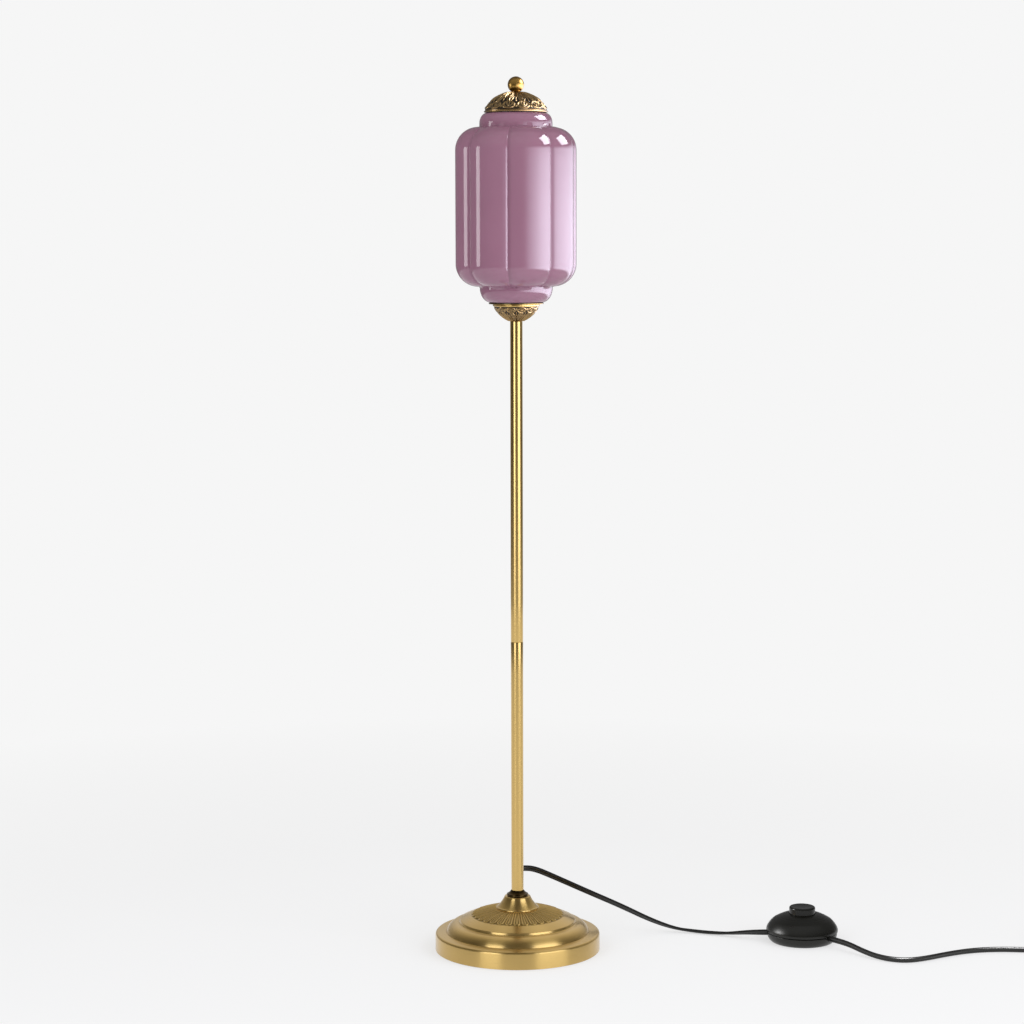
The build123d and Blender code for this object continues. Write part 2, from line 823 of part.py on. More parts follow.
# Flex: straight runs joined by arcs that are as large as the runs allow
def corner_radii(points):
    """For each corner, 0.45 of its shorter run divided by the tangent of half its turn."""
    radii = []
    for before, here, after in zip(points, points[1:], points[2:]):
        arriving = Vector(*here) - Vector(*before)
        leaving = Vector(*after) - Vector(*here)
        turn = arriving.get_angle(leaving)
        radii.append(0.45 * min(arriving.length, leaving.length) / tan(radians(turn / 2)))
    return radii


def cord_along(points, name):
    """A round tube along the route, with its radii and its volume against section times length."""
    radii = corner_radii(points)
    with BuildPart() as cord:
        with BuildLine():
            route = FilletPolyline(*points, radius=radii)
        with BuildSketch(Plane(origin=route @ 0, z_dir=route % 0)):
            Circle(cord_radius)
        sweep()
    length = route.length
    share = cord.part.volume / (pi * cord_radius**2 * length)
    print(name, "length", round(length, 1), "volume share", round(share, 4), "radii", [round(r) for r in radii])
    return cord.part


# The flex inside the pole, from the lamp holder's floor to the bushing
with BuildPart() as pole_flex:
    with BuildLine():
        pole_route = FilletPolyline(
            (0, 0, holder_bottom),
            (0, 0, bushing_height),
            (0, pole_bore, bushing_height),
            radius=pole_bore - 1,
        )
    with BuildSketch(Plane(origin=pole_route @ 0, z_dir=pole_route % 0)):
        Circle(pole_flex_radius)
    sweep()
pole_flex.part.label = "pole_flex"
export_step(pole_flex.part, "parts/pole_flex.step")

block_edge = block_radius - cord_end_sink
lamp_side_points = [
    (0, pole_bore, bushing_height),
    (0, bushing_end - 1, bushing_height),
    (0.6, 42, 103.6),
    (8, 58, 102),
    (24.5, 70, 98.5),
    (53, 77.5, 83.5),
    (100, 81.5, 61),
    (150, 83.5, 38.5),
    (190, 85, 18.5),
    (225, 84.5, 6),
    (252, 79.5, 3.4),
    (275, 70, 3.4),
    (300, 62, 4.4),
    (325, 50, 9),
    (347, 40.5, switch_cord_height - 0.3),
    (switch_x - block_edge, switch_y, switch_cord_height),
]
with BuildPart() as cord_lamp_side:
    add(cord_along(lamp_side_points, "cord_lamp_side"))
cord_lamp_side.part.label = "cord_lamp_side"
export_step(cord_lamp_side.part, "parts/cord_lamp_side.step")

port = radians(switch_port_angle)
plug_side_points = [
    (switch_x + block_edge * cos(port), switch_y + block_edge * sin(port), switch_cord_height),
    (436, 4.9, switch_cord_height),
    (449, -8.7, 11.9),
    (463, -23.5, 10.6),
    (478, -43, 7.2),
    (494, -62, 4.9),
    (513, -78, 4.5),
    (536, -83.5, 4.5),
    (563, -72, 4.5),
    (594, -51, 4.5),
    (632, -32, 4.5),
    (672, -26.5, 4.5),
    (712, -31, 4.6),
    (750, coil_y - coil_mean_radius + 0.5, 4.8),
    (coil_x - 8, coil_y - coil_mean_radius, 5.2),
]
with BuildPart() as cord_plug_side:
    add(cord_along(plug_side_points, "cord_plug_side"))
cord_plug_side.part.label = "cord_plug_side"
export_step(cord_plug_side.part, "parts/cord_plug_side.step")

# Coil of the spare flex, tied on its left side
coil_middle = coil_lift + coil_section_height / 2
with BuildPart() as cord_coil:
    with BuildSketch(Plane.XZ.offset(-coil_y)):
        with Locations((coil_x + coil_mean_radius, coil_middle)):
            RectangleRounded(coil_section_width, coil_section_height, coil_round)
    revolve(axis=Axis((coil_x, coil_y, 0), (0, 0, 1)))
cord_coil.part.label = "cord_coil"
export_step(cord_coil.part, "parts/cord_coil.step")

with BuildPart() as coil_tie:
    with BuildSketch(Plane.XZ.offset(-coil_y)):
        with Locations((coil_x - coil_mean_radius, coil_middle)):
            RectangleRounded(
                coil_section_width + 2 * (tie_gap + tie_thickness) + 1,
                coil_section_height + 2 * (tie_gap + tie_thickness),
                coil_round,
            )
            RectangleRounded(
                coil_section_width + 2 * tie_gap + 1,
                coil_section_height + 2 * tie_gap,
                coil_round - tie_thickness,
                mode=Mode.SUBTRACT,
            )
    extrude(amount=tie_width / 2, both=True)
coil_tie.part.label = "coil_tie"
export_step(coil_tie.part, "parts/coil_tie.step")

plug_height = plug_thickness / 2
plug_lead_points = [
    (coil_x + coil_mean_radius + 1.5, coil_y + 6, coil_lift + coil_section_height - cord_width / 2 - 1),
    (plug_x - 1.5, coil_y + 22, 12),
    (plug_x - 0.5, plug_y - 8, plug_height + 1),
    (plug_x, plug_y + cord_end_sink + 5, plug_height),
]
with BuildPart() as cord_plug_lead:
    add(cord_along(plug_lead_points, "cord_plug_lead"))
cord_plug_lead.part.label = "cord_plug_lead"
export_step(cord_plug_lead.part, "parts/cord_plug_lead.step")

# Flat two pin plug with a tapered strain relief
with BuildPart() as plug_relief:
    with BuildSketch(Plane.XZ.offset(-plug_y)):
        with Locations((plug_x, plug_height)):
            Circle(plug_relief_tip_radius)
    with BuildSketch(Plane.XZ.offset(-plug_y - plug_relief_length)):
        with Locations((plug_x, plug_height)):
            Circle(plug_height - plug_relief_step)
    loft()
plug_relief.part.label = "plug_relief"
export_step(plug_relief.part, "parts/plug_relief.step")

plug_back = plug_y + plug_relief_length
with BuildPart() as plug_body:
    with BuildSketch(Plane.XZ.offset(-plug_back)):
        with Locations((plug_x, plug_height)):
            RectangleRounded(plug_back_width, plug_thickness, plug_corner)
    with BuildSketch(Plane.XZ.offset(-plug_back - plug_length)):
        with Locations((plug_x, plug_height)):
            RectangleRounded(plug_width, plug_thickness, plug_corner)
    loft()
plug_body.part.label = "plug_body"
export_step(plug_body.part, "parts/plug_body.step")

with BuildPart() as plug_pins:
    with BuildSketch(Plane.XZ.offset(-plug_back - plug_length)):
        with Locations((plug_x, plug_height)):
            with GridLocations(plug_pin_spacing, 0, 2, 1):
                Circle(plug_pin_radius)
    extrude(amount=-plug_pin_length)
plug_pins.part.label = "plug_pins"
export_step(plug_pins.part, "parts/plug_pins.step")


# Foot switch: domed cover, lower shell, block with a return spring, and the push button
def switch_dome(inset):
    """The cover's solid dome above the seam, inset by a wall."""
    with BuildPart() as dome:
        with BuildSketch(Plane.XZ):
            with BuildLine():
                side = Line(
                    (switch_radius - inset, switch_seam_height),
                    (switch_radius - inset, switch_seam_height + switch_band),
                )
                curve = Spline(
                    side @ 1,
                    ((switch_radius - inset) * 0.8, switch_seam_height + switch_shoulder - inset * 0.6),
                    (button_hole, switch_top_height - inset),
                    tangents=((0, 1), (-1, 0.12)),
                )
                Polyline(
                    curve @ 1, (0, switch_top_height - inset), (0, switch_seam_height), side @ 0
                )
            make_face()
        revolve(axis=Axis.Z)
    return dome.part


def port_cutters():
    """The two round ports in the seam where the flex goes in and out."""
    with BuildPart() as cutters:
        for angle in (180, switch_port_angle):
            with BuildSketch(Plane.YZ.rotated((0, 0, angle)).offset(block_radius)):
                with Locations((0, switch_cord_height)):
                    Circle(switch_notch_radius)
            extrude(amount=switch_radius)
    return cutters.part


button_hole = button_radius + button_gap
floor_top = switch_foot_height + switch_wall
with BuildPart() as cover_bosses:
    with Locations((0, 0, floor_top)):
        with PolarLocations(screw_circle, 3, start_angle=screw_start):
            Cylinder(boss_radius, switch_top_height, align=(Align.CENTER, Align.CENTER, Align.MIN))
    with BuildSketch(Plane.XY.offset(switch_seam_height)):
        Circle(switch_radius)
    extrude(amount=switch_top_height, mode=Mode.SUBTRACT)
with BuildPart() as upper_bosses:
    with Locations((0, 0, switch_seam_height)):
        with PolarLocations(screw_circle, 3, start_angle=screw_start):
            Cylinder(boss_radius, switch_top_height, align=(Align.CENTER, Align.CENTER, Align.MIN))
    add(switch_dome(switch_wall / 2), mode=Mode.INTERSECT)
with BuildPart() as cover_line:
    add(ring(switch_line_radius, switch_line_radius + switch_line_width, switch_seam_height, switch_top_height))
    add(switch_dome(switch_line_depth), mode=Mode.SUBTRACT)
with BuildPart() as cover_form:
    add(switch_dome(0))
    add(switch_dome(switch_wall), mode=Mode.SUBTRACT)
    add(upper_bosses.part)
    add(cover_bosses.part)
    Cylinder(button_hole, 3 * switch_top_height, mode=Mode.SUBTRACT)
    with PolarLocations(screw_circle, 3, start_angle=screw_start):
        Cylinder(
            screw_radius + fit_gap,
            switch_foot_height + screw_length + 1,
            align=(Align.CENTER, Align.CENTER, Align.MIN),
            mode=Mode.SUBTRACT,
        )
    add(port_cutters(), mode=Mode.SUBTRACT)
    add(cover_line.part, mode=Mode.SUBTRACT)
with BuildPart() as switch_cover:
    with Locations((switch_x, switch_y, 0)):
        add(cover_form.part)
switch_cover.part.label = "switch_cover"
export_step(switch_cover.part, "parts/switch_cover.step")

seam_top = switch_seam_height - switch_seam_gap
seam_radius = switch_radius - switch_seam_step
with BuildPart() as lower_form:
    with BuildSketch(Plane.XZ):
        with BuildLine():
            floor = Line((0, switch_foot_height), (switch_foot_radius - switch_foot_corner, switch_foot_height))
            side = ThreePointArc(
                floor @ 1,
                (switch_foot_radius + switch_foot_swell[0], switch_foot_height + switch_foot_swell[1]),
                (seam_radius, seam_top),
            )
            Polyline(
                side @ 1,
                (seam_radius - switch_wall, seam_top),
                (switch_foot_radius - switch_wall, floor_top + 2),
                (switch_foot_radius - switch_wall - switch_foot_corner, floor_top),
                (0, floor_top),
                floor @ 0,
            )
        make_face()
    revolve(axis=Axis.Z)
    with PolarLocations(screw_circle, 3, start_angle=screw_start):
        Cylinder(screw_radius + fit_gap, 3 * floor_top, mode=Mode.SUBTRACT)
    add(port_cutters(), mode=Mode.SUBTRACT)
with BuildPart() as switch_base:
    with Locations((switch_x, switch_y, 0)):
        add(lower_form.part)
switch_base.part.label = "switch_base"
export_step(switch_base.part, "parts/switch_base.step")

with BuildPart() as switch_screws:
    with Locations((switch_x, switch_y, switch_foot_height)):
        with PolarLocations(screw_circle, 3, start_angle=screw_start):
            Cylinder(screw_head_radius, screw_head_height, align=(Align.CENTER, Align.CENTER, Align.MAX))
            Cylinder(screw_radius, screw_length, align=(Align.CENTER, Align.CENTER, Align.MIN))
switch_screws.part.label = "switch_screws"
export_step(switch_screws.part, "parts/switch_screws.step")

with BuildPart() as switch_feet:
    with Locations((switch_x, switch_y, 0)):
        with PolarLocations(rubber_foot_circle, 3, start_angle=screw_start + 60):
            Cylinder(rubber_foot_radius, switch_foot_height, align=(Align.CENTER, Align.CENTER, Align.MIN))
switch_feet.part.label = "switch_feet"
export_step(switch_feet.part, "parts/switch_feet.step")

block_top = floor_top + block_height
pocket_bottom = block_top - spring_pocket
with BuildPart() as switch_block:
    with Locations((switch_x, switch_y, floor_top)):
        Cylinder(block_radius, block_height, align=(Align.CENTER, Align.CENTER, Align.MIN))
    with Locations((switch_x, switch_y, pocket_bottom)):
        Cylinder(
            spring_radius + spring_wire,
            block_height,
            align=(Align.CENTER, Align.CENTER, Align.MIN),
            mode=Mode.SUBTRACT,
        )
switch_block.part.label = "switch_block"
export_step(switch_block.part, "parts/switch_block.step")

# Button: a dished cap with a flange that stops it under the cover, on its return spring
flange_top = switch_top_height - switch_wall - button_flange_gap
flange_bottom = flange_top - button_flange_height
spring_seat = flange_bottom - spring_boss
button_rim = button_radius - button_chamfer
with BuildPart() as button_form:
    with BuildSketch(Plane.XZ):
        with BuildLine():
            dish = ThreePointArc(
                (0, button_top_height - button_dish),
                (button_rim / 2, button_top_height - button_dish * 0.75),
                (button_rim, button_top_height),
            )
            Polyline(
                dish @ 1,
                (button_radius, button_top_height - button_chamfer),
                (button_radius, flange_top),
                (button_radius + button_flange, flange_top),
                (button_radius + button_flange, flange_bottom),
                (spring_radius + spring_wire, flange_bottom),
                (spring_radius + spring_wire, spring_seat),
                (0, spring_seat),
                dish @ 0,
            )
        make_face()
    revolve(axis=Axis.Z)
with BuildPart() as switch_button:
    with Locations((switch_x, switch_y, 0)):
        add(button_form.part)
switch_button.part.label = "switch_button"
export_step(switch_button.part, "parts/switch_button.step")

coil_height = spring_seat - pocket_bottom - spring_wire
with BuildPart() as spring_form:
    with BuildLine():
        helix = Helix(pitch=coil_height / spring_turns, height=coil_height, radius=spring_radius)
    with BuildSketch(Plane(origin=helix @ 0, z_dir=helix % 0)):
        Circle(spring_wire / 2)
    sweep()
with BuildPart() as switch_spring:
    with Locations((switch_x, switch_y, pocket_bottom + spring_wire / 2)):
        add(spring_form.part)
switch_spring.part.label = "switch_spring"
export_step(switch_spring.part, "parts/switch_spring.step")
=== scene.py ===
"""A slim floor lamp: mauve cased glass in eight lobes, brass pole and base, flex, foot switch and plug.

Lengths are in metres. The origin is on the floor under the middle of the base, +Z is up, -Y is the front.
"""

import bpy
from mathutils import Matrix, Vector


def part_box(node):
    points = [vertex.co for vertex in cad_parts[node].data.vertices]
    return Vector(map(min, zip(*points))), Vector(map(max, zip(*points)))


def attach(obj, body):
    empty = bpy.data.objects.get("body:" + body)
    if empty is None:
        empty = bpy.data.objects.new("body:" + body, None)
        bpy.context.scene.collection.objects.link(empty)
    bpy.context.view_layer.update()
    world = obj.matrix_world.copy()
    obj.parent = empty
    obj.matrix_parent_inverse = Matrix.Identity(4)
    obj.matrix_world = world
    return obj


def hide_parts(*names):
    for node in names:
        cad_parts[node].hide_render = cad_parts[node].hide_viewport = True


bl_info = {
    "name": "Glass floor lamp",
    "version": (1, 0, 0),
    "blender": (4, 5, 0),
    "location": "3D View > Sidebar > Floor lamp",
    "description": "Brass floor lamp with a lobed glass shade, a foot switch, flex and plug",
    "category": "Add Mesh",
}

from math import cos, pi, radians, sin

import bpy
import numpy as np
from bpy.props import FloatProperty, FloatVectorProperty, IntProperty, PointerProperty
from mathutils import Matrix

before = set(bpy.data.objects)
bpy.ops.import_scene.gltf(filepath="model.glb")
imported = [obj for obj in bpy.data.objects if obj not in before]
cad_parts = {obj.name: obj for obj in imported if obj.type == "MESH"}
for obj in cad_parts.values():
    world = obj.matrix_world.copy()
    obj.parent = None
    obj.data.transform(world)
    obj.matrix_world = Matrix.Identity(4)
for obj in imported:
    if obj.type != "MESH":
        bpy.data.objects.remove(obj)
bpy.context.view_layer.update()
mm = 0.001
# Points closer than this are one point
touching = 1e-7


def linear(hex_colour):
    """The linear red, green and blue of an sRGB hex colour."""
    parts = np.array([int(hex_colour[i : i + 2], 16) for i in (1, 3, 5)]) / 255
    return tuple(np.where(parts <= 0.04045, parts / 12.92, ((parts + 0.055) / 1.055) ** 2.4))


def length(name, about, millimetres):
    """A length that a user can change."""
    return FloatProperty(name=name, description=about, default=millimetres * mm, unit="LENGTH", precision=5)


def colour(name, about, hex_colour):
    """A colour that a user can change, given as sRGB hex."""
    return FloatVectorProperty(
        name=name, description=about, default=linear(hex_colour), subtype="COLOR", min=0, max=1
    )


# Sizes and colours


class ShadeSizes(bpy.types.PropertyGroup):
    """The blown glass and what closes it above and below."""

    lobes: IntProperty(name="Lobes", description="Drums round the glass", default=8, min=3)
    lobe_radius: length("Lobe radius", "Outside radius of one drum", 45.6)
    lobe_offset: length("Lobe offset", "From the axis to a drum's middle", 38.1)
    lobe_turn: FloatProperty(
        name="Lobe turn", description="Direction of the first drum", default=radians(14), subtype="ANGLE"
    )
    shoulder: length("Shoulder", "Round of a drum's two ends", 31)
    crease: length("Crease", "How softly two drums meet", 0.4)
    wall: length("Wall", "Thickness of the glass", 3.5)
    upper_neck: length("Upper neck", "Radius of the neck under the cap", 49.7)
    lower_neck: length("Lower neck", "Radius of the neck on the plate", 49.8)
    upper_hole: length("Upper hole", "Radius of the opening under the cap", 36)
    lower_hole: length("Lower hole", "Radius of the opening over the plate", 33)
    lower_neck_height: length("Lower neck height", "From the plate to the drums", 21.8)
    upper_neck_height: length("Upper neck height", "From the drums to the cap", 19.1)
    cap_radius: length("Cap radius", "Outside of the cap's rim", 43.3)
    cap_relief: length("Cap relief", "Height of the cast leaves", 1.5)
    cap_leaves: IntProperty(name="Cap leaves", description="Leaves round the cap", default=12, min=4)
    ball: length("Finial", "Diameter of the ball", 22.3)


class StandSizes(bpy.types.PropertyGroup):
    """The base, the neck and the pole."""

    base_radius: length("Base radius", "Outside of the base's wall", 115)
    base_wall: length("Base wall", "Thickness of the spun brass", 1.5)
    petals: IntProperty(name="Petals", description="Petals pressed round the dome", default=32, min=8)
    petal_reach: length("Petal reach", "From the axis to the petals' tips", 64.5)
    petal_relief: length("Petal relief", "Height of the petals' ridges", 0.8)
    pole_radius: length("Pole radius", "Outside of both tubes", 8.5)


class FlexSizes(bpy.types.PropertyGroup):
    """The flat twin flex and its coil."""

    width: length("Width", "Across both cores", 8.6)
    thickness: length("Thickness", "Over one core", 4.3)
    web: length("Web", "Thickness between the two cores", 2.3)
    coil_radius: length("Coil radius", "To the middle of the coil's turns", 47.5)
    coil_turns: IntProperty(name="Coil turns", description="Turns in each layer", default=2, min=1)


class SwitchSizes(bpy.types.PropertyGroup):
    """The round foot switch."""

    x: length("X", "Middle of the switch", 403)
    y: length("Y", "Middle of the switch", 39)
    radius: length("Radius", "Outside of the cover", 50.5)
    seam: length("Seam", "Height of the joint between the halves", 14)
    top: length("Top", "Height of the cover", 40)
    button: length("Button", "Radius of the push button", 18.4)
    button_top: length("Button top", "Height of the push button", 49.5)


class Finishes(bpy.types.PropertyGroup):
    """Colours of the finishes."""

    brass: colour("Satin brass", "Lacquered brass of the pole, neck and base", "#D6B46C")
    antique: colour("Antique brass", "Cast brass of the cap and cup", "#9E8050")
    patina: colour("Patina", "Dark in the hollows of the cast brass", "#2A1D0C")
    bronze: colour("Dark bronze", "Collar at the foot of the pole", "#4A3B22")
    glass: colour("Glass", "Mauve casing of the shade", "#986D83")
    lining: colour("Lining", "Opal lining inside the shade", "#EADDE6")
    plastic: colour("Plastic", "Moulded switch and plug", "#1B1B17")
    flex: colour("Flex", "Sheath of the flex", "#12120F")
    backdrop: colour("Backdrop", "Floor and background", "#F6F6F6")


# Grids of points and the meshes made from them


def at(level, *points):
    """Points of (radius, height) in millimetres, with the heights taken from a level."""
    return [(r * mm, level + h * mm) for r, h in points]


def arc(start, middle, end, steps):
    """Points of the circle through three points, from start to end: centre plus radius times (cos, sin)
    of an angle that runs evenly from the first point's to the last's, on the middle point's side."""
    (ax, ay), (bx, by), (cx, cy) = start, middle, end
    d = 2 * (ax * (by - cy) + bx * (cy - ay) + cx * (ay - by))
    a2, b2, c2 = ax * ax + ay * ay, bx * bx + by * by, cx * cx + cy * cy
    x = (a2 * (by - cy) + b2 * (cy - ay) + c2 * (ay - by)) / d
    y = (a2 * (cx - bx) + b2 * (ax - cx) + c2 * (bx - ax)) / d
    first, between, last = (np.arctan2(q - y, p - x) for p, q in (start, middle, end))
    sweep = (last - first) % (2 * pi)
    if (between - first) % (2 * pi) > sweep:
        sweep -= 2 * pi
    t = first + sweep * np.linspace(0, 1, steps)
    radius = np.hypot(ax - x, ay - y)
    return np.stack([x + radius * np.cos(t), y + radius * np.sin(t)], 1)


def bend(start, end, leaving, arriving, steps):
    """A cubic Hermite run between two points: h00 start + h10 leaving + h01 end + h11 arriving."""
    t = np.linspace(0, 1, steps)[:, None]
    start, end, leaving, arriving = (np.array(v, float) for v in (start, end, leaving, arriving))
    return (
        (2 * t**3 - 3 * t**2 + 1) * start
        + (t**3 - 2 * t**2 + t) * leaving
        + (3 * t**2 - 2 * t**3) * end
        + (t**3 - t**2) * arriving
    )


def profile(*runs, soften=0.4 * mm, steps=4, closed=True):
    """Joins points and runs of points into one outline, and rounds each corner sharper than 18 degrees.
    A corner's round starts and ends soften before and after it, or at 0.45 of a shorter run, and is the
    parabola (1-t)^2 a + 2t(1-t) corner + t^2 b between those two points."""
    line = np.vstack([np.atleast_2d(np.array(run, float)) for run in runs])
    line = line[np.r_[True, np.hypot(*np.diff(line, axis=0).T) > touching]]
    if closed and np.hypot(*(line[0] - line[-1])) < touching:
        line = line[:-1]
    before, after = np.roll(line, 1, 0) - line, np.roll(line, -1, 0) - line
    lb, la = np.hypot(*before.T), np.hypot(*after.T)
    straight = -(before * after).sum(1) / (lb * la)
    sharp = straight < cos(radians(18))
    if not closed:
        sharp[[0, -1]] = False
    t = np.linspace(0, 1, steps)[:, None]
    parts = []
    for i, corner in enumerate(line):
        if not sharp[i]:
            parts.append(corner[None])
            continue
        a = corner + before[i] * min(soften / lb[i], 0.45)
        b = corner + after[i] * min(soften / la[i], 0.45)
        parts.append((1 - t) ** 2 * a + 2 * t * (1 - t) * corner + t**2 * b)
    return np.vstack(parts)


def around(columns):
    """The angle of each column round an axis."""
    return np.linspace(0, 2 * pi, columns, endpoint=False)


def span(node):
    """The lowest and the highest z of a CAD node."""
    return (corner.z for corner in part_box(node))


def ringed(r, u, z):
    """Points at a radius, an angle and a height: r cos u, r sin u, z."""
    return np.stack([r * np.cos(u), r * np.sin(u), z + 0 * u], -1)


def turned(line, columns, centre=(0, 0)):
    """A profile of (radius, height) turned about an upright axis: x + r cos u, y + r sin u, h."""
    u = around(columns)
    r, h = line[:, :1], line[:, 1:]
    return np.stack([centre[0] + r * np.cos(u), centre[1] + r * np.sin(u), h + 0 * u], -1)


def raised(line, out):
    """A turned profile whose points stand out along its own normal (a, b), by out metres for each row and
    column: (r + a out) cos u, (r + a out) sin u, z + b out."""
    u = around(out.shape[1])
    along = np.gradient(line, axis=0)
    normal = np.stack([along[:, 1], -along[:, 0]], 1) / np.hypot(*along.T)[:, None]
    return ringed(line[:, :1] + normal[:, :1] * out, u, line[:, 1:] + normal[:, 1:] * out)


def rings_along_y(x, z, y, wide, thick, power=1):
    """Rings round a level line: x + wide c, y, z + thick s, with y, wide and thick for each row. c and s
    are the angle's cosine and sine, their size raised to a power that squares the ring if below 1."""
    u = around(64)
    c, s = (np.sign(v) * np.abs(v) ** power for v in (np.cos(u), np.sin(u)))
    y, wide, thick = (np.array(v)[:, None] for v in (y, wide, thick))
    return np.stack([x + wide * c, y + 0 * u, z + thick * s], -1)


def surface(name, grid, tips=None, crease=35, hollow=None):
    """A mesh of a grid of points, rows by columns, closed across its columns. Without tips the last row
    joins the first; with them, each tip closes the first or the last row in a fan, and None leaves it
    open. The faces are turned outwards by the sign of the volume they hold. hollow is a first row and a
    number per point from there on, kept as the attribute of that name."""
    rows, columns = grid.shape[:2]
    points = grid.reshape(-1, 3)
    i = np.arange(rows - 1 if tips else rows)[:, None]
    j = np.arange(columns)[None]
    here, beside = i * columns + j, i * columns + (j + 1) % columns
    over, across = (i + 1) % rows * columns + j, (i + 1) % rows * columns + (j + 1) % columns
    quads = np.stack([here, beside, across, over], -1).reshape(-1, 4)
    fans = []
    for tip, row, order in zip(tips or (), (0, rows - 1), (1, -1)):
        if tip is not None:
            points = np.vstack([points, [tip]])
            ring = row * columns + j[0]
            fan = np.stack([np.full(columns, len(points) - 1), np.roll(ring, -1), ring], -1)
            fans.append(fan[:, ::order])
    triangles = np.vstack([quads[:, [0, 1, 2]], quads[:, [0, 2, 3]], *fans])
    a, b, c = (points[triangles[:, k]] for k in range(3))
    if (a * np.cross(b, c)).sum() < 0:
        quads, fans = quads[:, ::-1], [fan[:, ::-1] for fan in fans]
    mesh = bpy.data.meshes.new(name)
    mesh.from_pydata(points, [], [f.tolist() for part in (quads, *fans) for f in part])
    if hollow:
        first, numbers = hollow
        values = np.zeros(len(points), np.float32)
        values[first * columns :][: numbers.size] = numbers.ravel()
        mesh.attributes.new("hollow", "FLOAT", "POINT").data.foreach_set("value", values)
    mesh.shade_smooth()
    mesh.set_sharp_from_angle(angle=radians(crease))
    piece = bpy.data.objects.new(name, mesh)
    bpy.context.scene.collection.objects.link(piece)
    return piece


# What lights some pieces alone, and what a flag on a stand keeps off them
both_flags = ("front boxes", "studio tent")
cast_light = ("window", "strip", "dim tent"), both_flags
ring_light = ("window", "dim tent"), ("studio tent",)
switch_light = ("switch strip", "dim tent"), both_flags
flex_lights = {"fitting": (("dim tent",), both_flags), "plug": (("dim tent", "flex strip"), both_flags)}


def lamp_group(name):
    """The collection of the pieces that some lamps light, or leave out."""
    return bpy.data.collections.get(name) or bpy.data.collections.new(name)


def place(piece, body, slot, material, *nodes, light=((), ())):
    """The piece rides on a body, takes a finish, and stands for the CAD nodes of the same form. light
    names the lamps that light it too, and those kept off it."""
    piece.data.materials.append(finish(material))
    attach(piece, body)
    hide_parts(*nodes)
    lamps, spared = light
    for name in lamps:
        lamp_group(name).objects.link(piece)
    for name in spared:
        flagged = lamp_group("flagged from the " + name)
        flagged.objects.link(piece)
        for entry in flagged.collection_objects:
            entry.light_linking.link_state = "EXCLUDE"


def smooth_line(name, route):
    """Points of the smooth line that has the route's points as its NURBS control points."""
    curve = bpy.data.curves.new(name, "CURVE")
    curve.dimensions = "3D"
    curve.resolution_u = 10
    spline = curve.splines.new("NURBS")
    spline.points.add(len(route) - 1)
    spline.points.foreach_set("co", np.c_[route, np.ones(len(route))].ravel())
    spline.order_u = 3
    spline.use_endpoint_u = True
    carrier = bpy.data.objects.new(name, curve)
    bpy.context.scene.collection.objects.link(carrier)
    mesh = bpy.data.meshes.new_from_object(carrier)
    points = np.zeros(len(mesh.vertices) * 3)
    mesh.vertices.foreach_get("co", points)
    bpy.data.objects.remove(carrier)
    bpy.data.curves.remove(curve)
    bpy.data.meshes.remove(mesh)
    points = points.reshape(-1, 3)
    return points[np.r_[True, np.linalg.norm(np.diff(points, axis=0), axis=1) > 1e-6]]


def along_path(path, section, roll):
    """A section of (across, up) points carried along a path: point + a side + b up, where side is level
    and square to the path, up is square to both, and the pair is turned by roll about the path."""
    ahead = np.gradient(path, axis=0)
    ahead /= np.linalg.norm(ahead, axis=1)[:, None]
    side = np.cross(ahead, (0, 0, 1))
    side /= np.linalg.norm(side, axis=1)[:, None]
    up = np.cross(side, ahead)
    c, s = np.cos(roll)[:, None], np.sin(roll)[:, None]
    side, up = c * side + s * up, c * up - s * side
    return path[:, None] + section[None, :, :1] * side[:, None] + section[None, :, 1:] * up[:, None]


# Finishes


def add(tree, kind, inputs=None, **settings):
    """A shader node of a kind with its settings. An input is a value, a node to link from, or a pair of
    a node and the name or number of its output."""
    node = tree.nodes.new("ShaderNode" + kind)
    for key, value in settings.items():
        setattr(node, key, value)
    for key, value in (inputs or {}).items():
        source, output = value if isinstance(value, tuple) and len(value) == 2 else (value, 0)
        if isinstance(source, bpy.types.Node):
            tree.links.new(source.outputs[output], node.inputs[key])
        else:
            node.inputs[key].default_value = value
    return node


def start_material(name):
    """A new material with an empty node tree, and the tree."""
    material = bpy.data.materials.new(name)
    material.use_nodes = True
    material.node_tree.nodes.clear()
    return material, material.node_tree


def finished(material, look):
    """The material with one shader that has the inputs of this look."""
    tree = material.node_tree
    add(tree, "OutputMaterial", {"Surface": add(tree, "BsdfPrincipled", look)})
    return material


def rgba(colour):
    """A colour with full alpha, as a node's socket takes it. A link stays as it is."""
    return colour if len(colour) == 2 else (*colour, 1.0)


def ramp(tree, factor, low, high, out_low, out_high):
    """A number that goes from out_low to out_high as the factor goes from low to high."""
    ends = {"Value": factor, "From Min": low, "From Max": high, "To Min": out_low, "To Max": out_high}
    return add(tree, "MapRange", ends)


def blend(tree, factor, low, high):
    """The colour that goes from low to high as the factor goes from 0 to 1."""
    return add(tree, "Mix", {"Factor": factor, 6: rgba(low), 7: rgba(high)}, data_type="RGBA"), 2


def noise(tree, where, scale, detail):
    """Cloudy numbers about 0.5 that change scale times in a metre."""
    return add(tree, "TexNoise", {"Vector": where, "Scale": scale, "Detail": detail})


def bumps(tree, strength, depth, height):
    """A normal that follows the height, with metres of depth."""
    return add(tree, "Bump", {"Strength": strength, "Distance": depth, "Height": height})


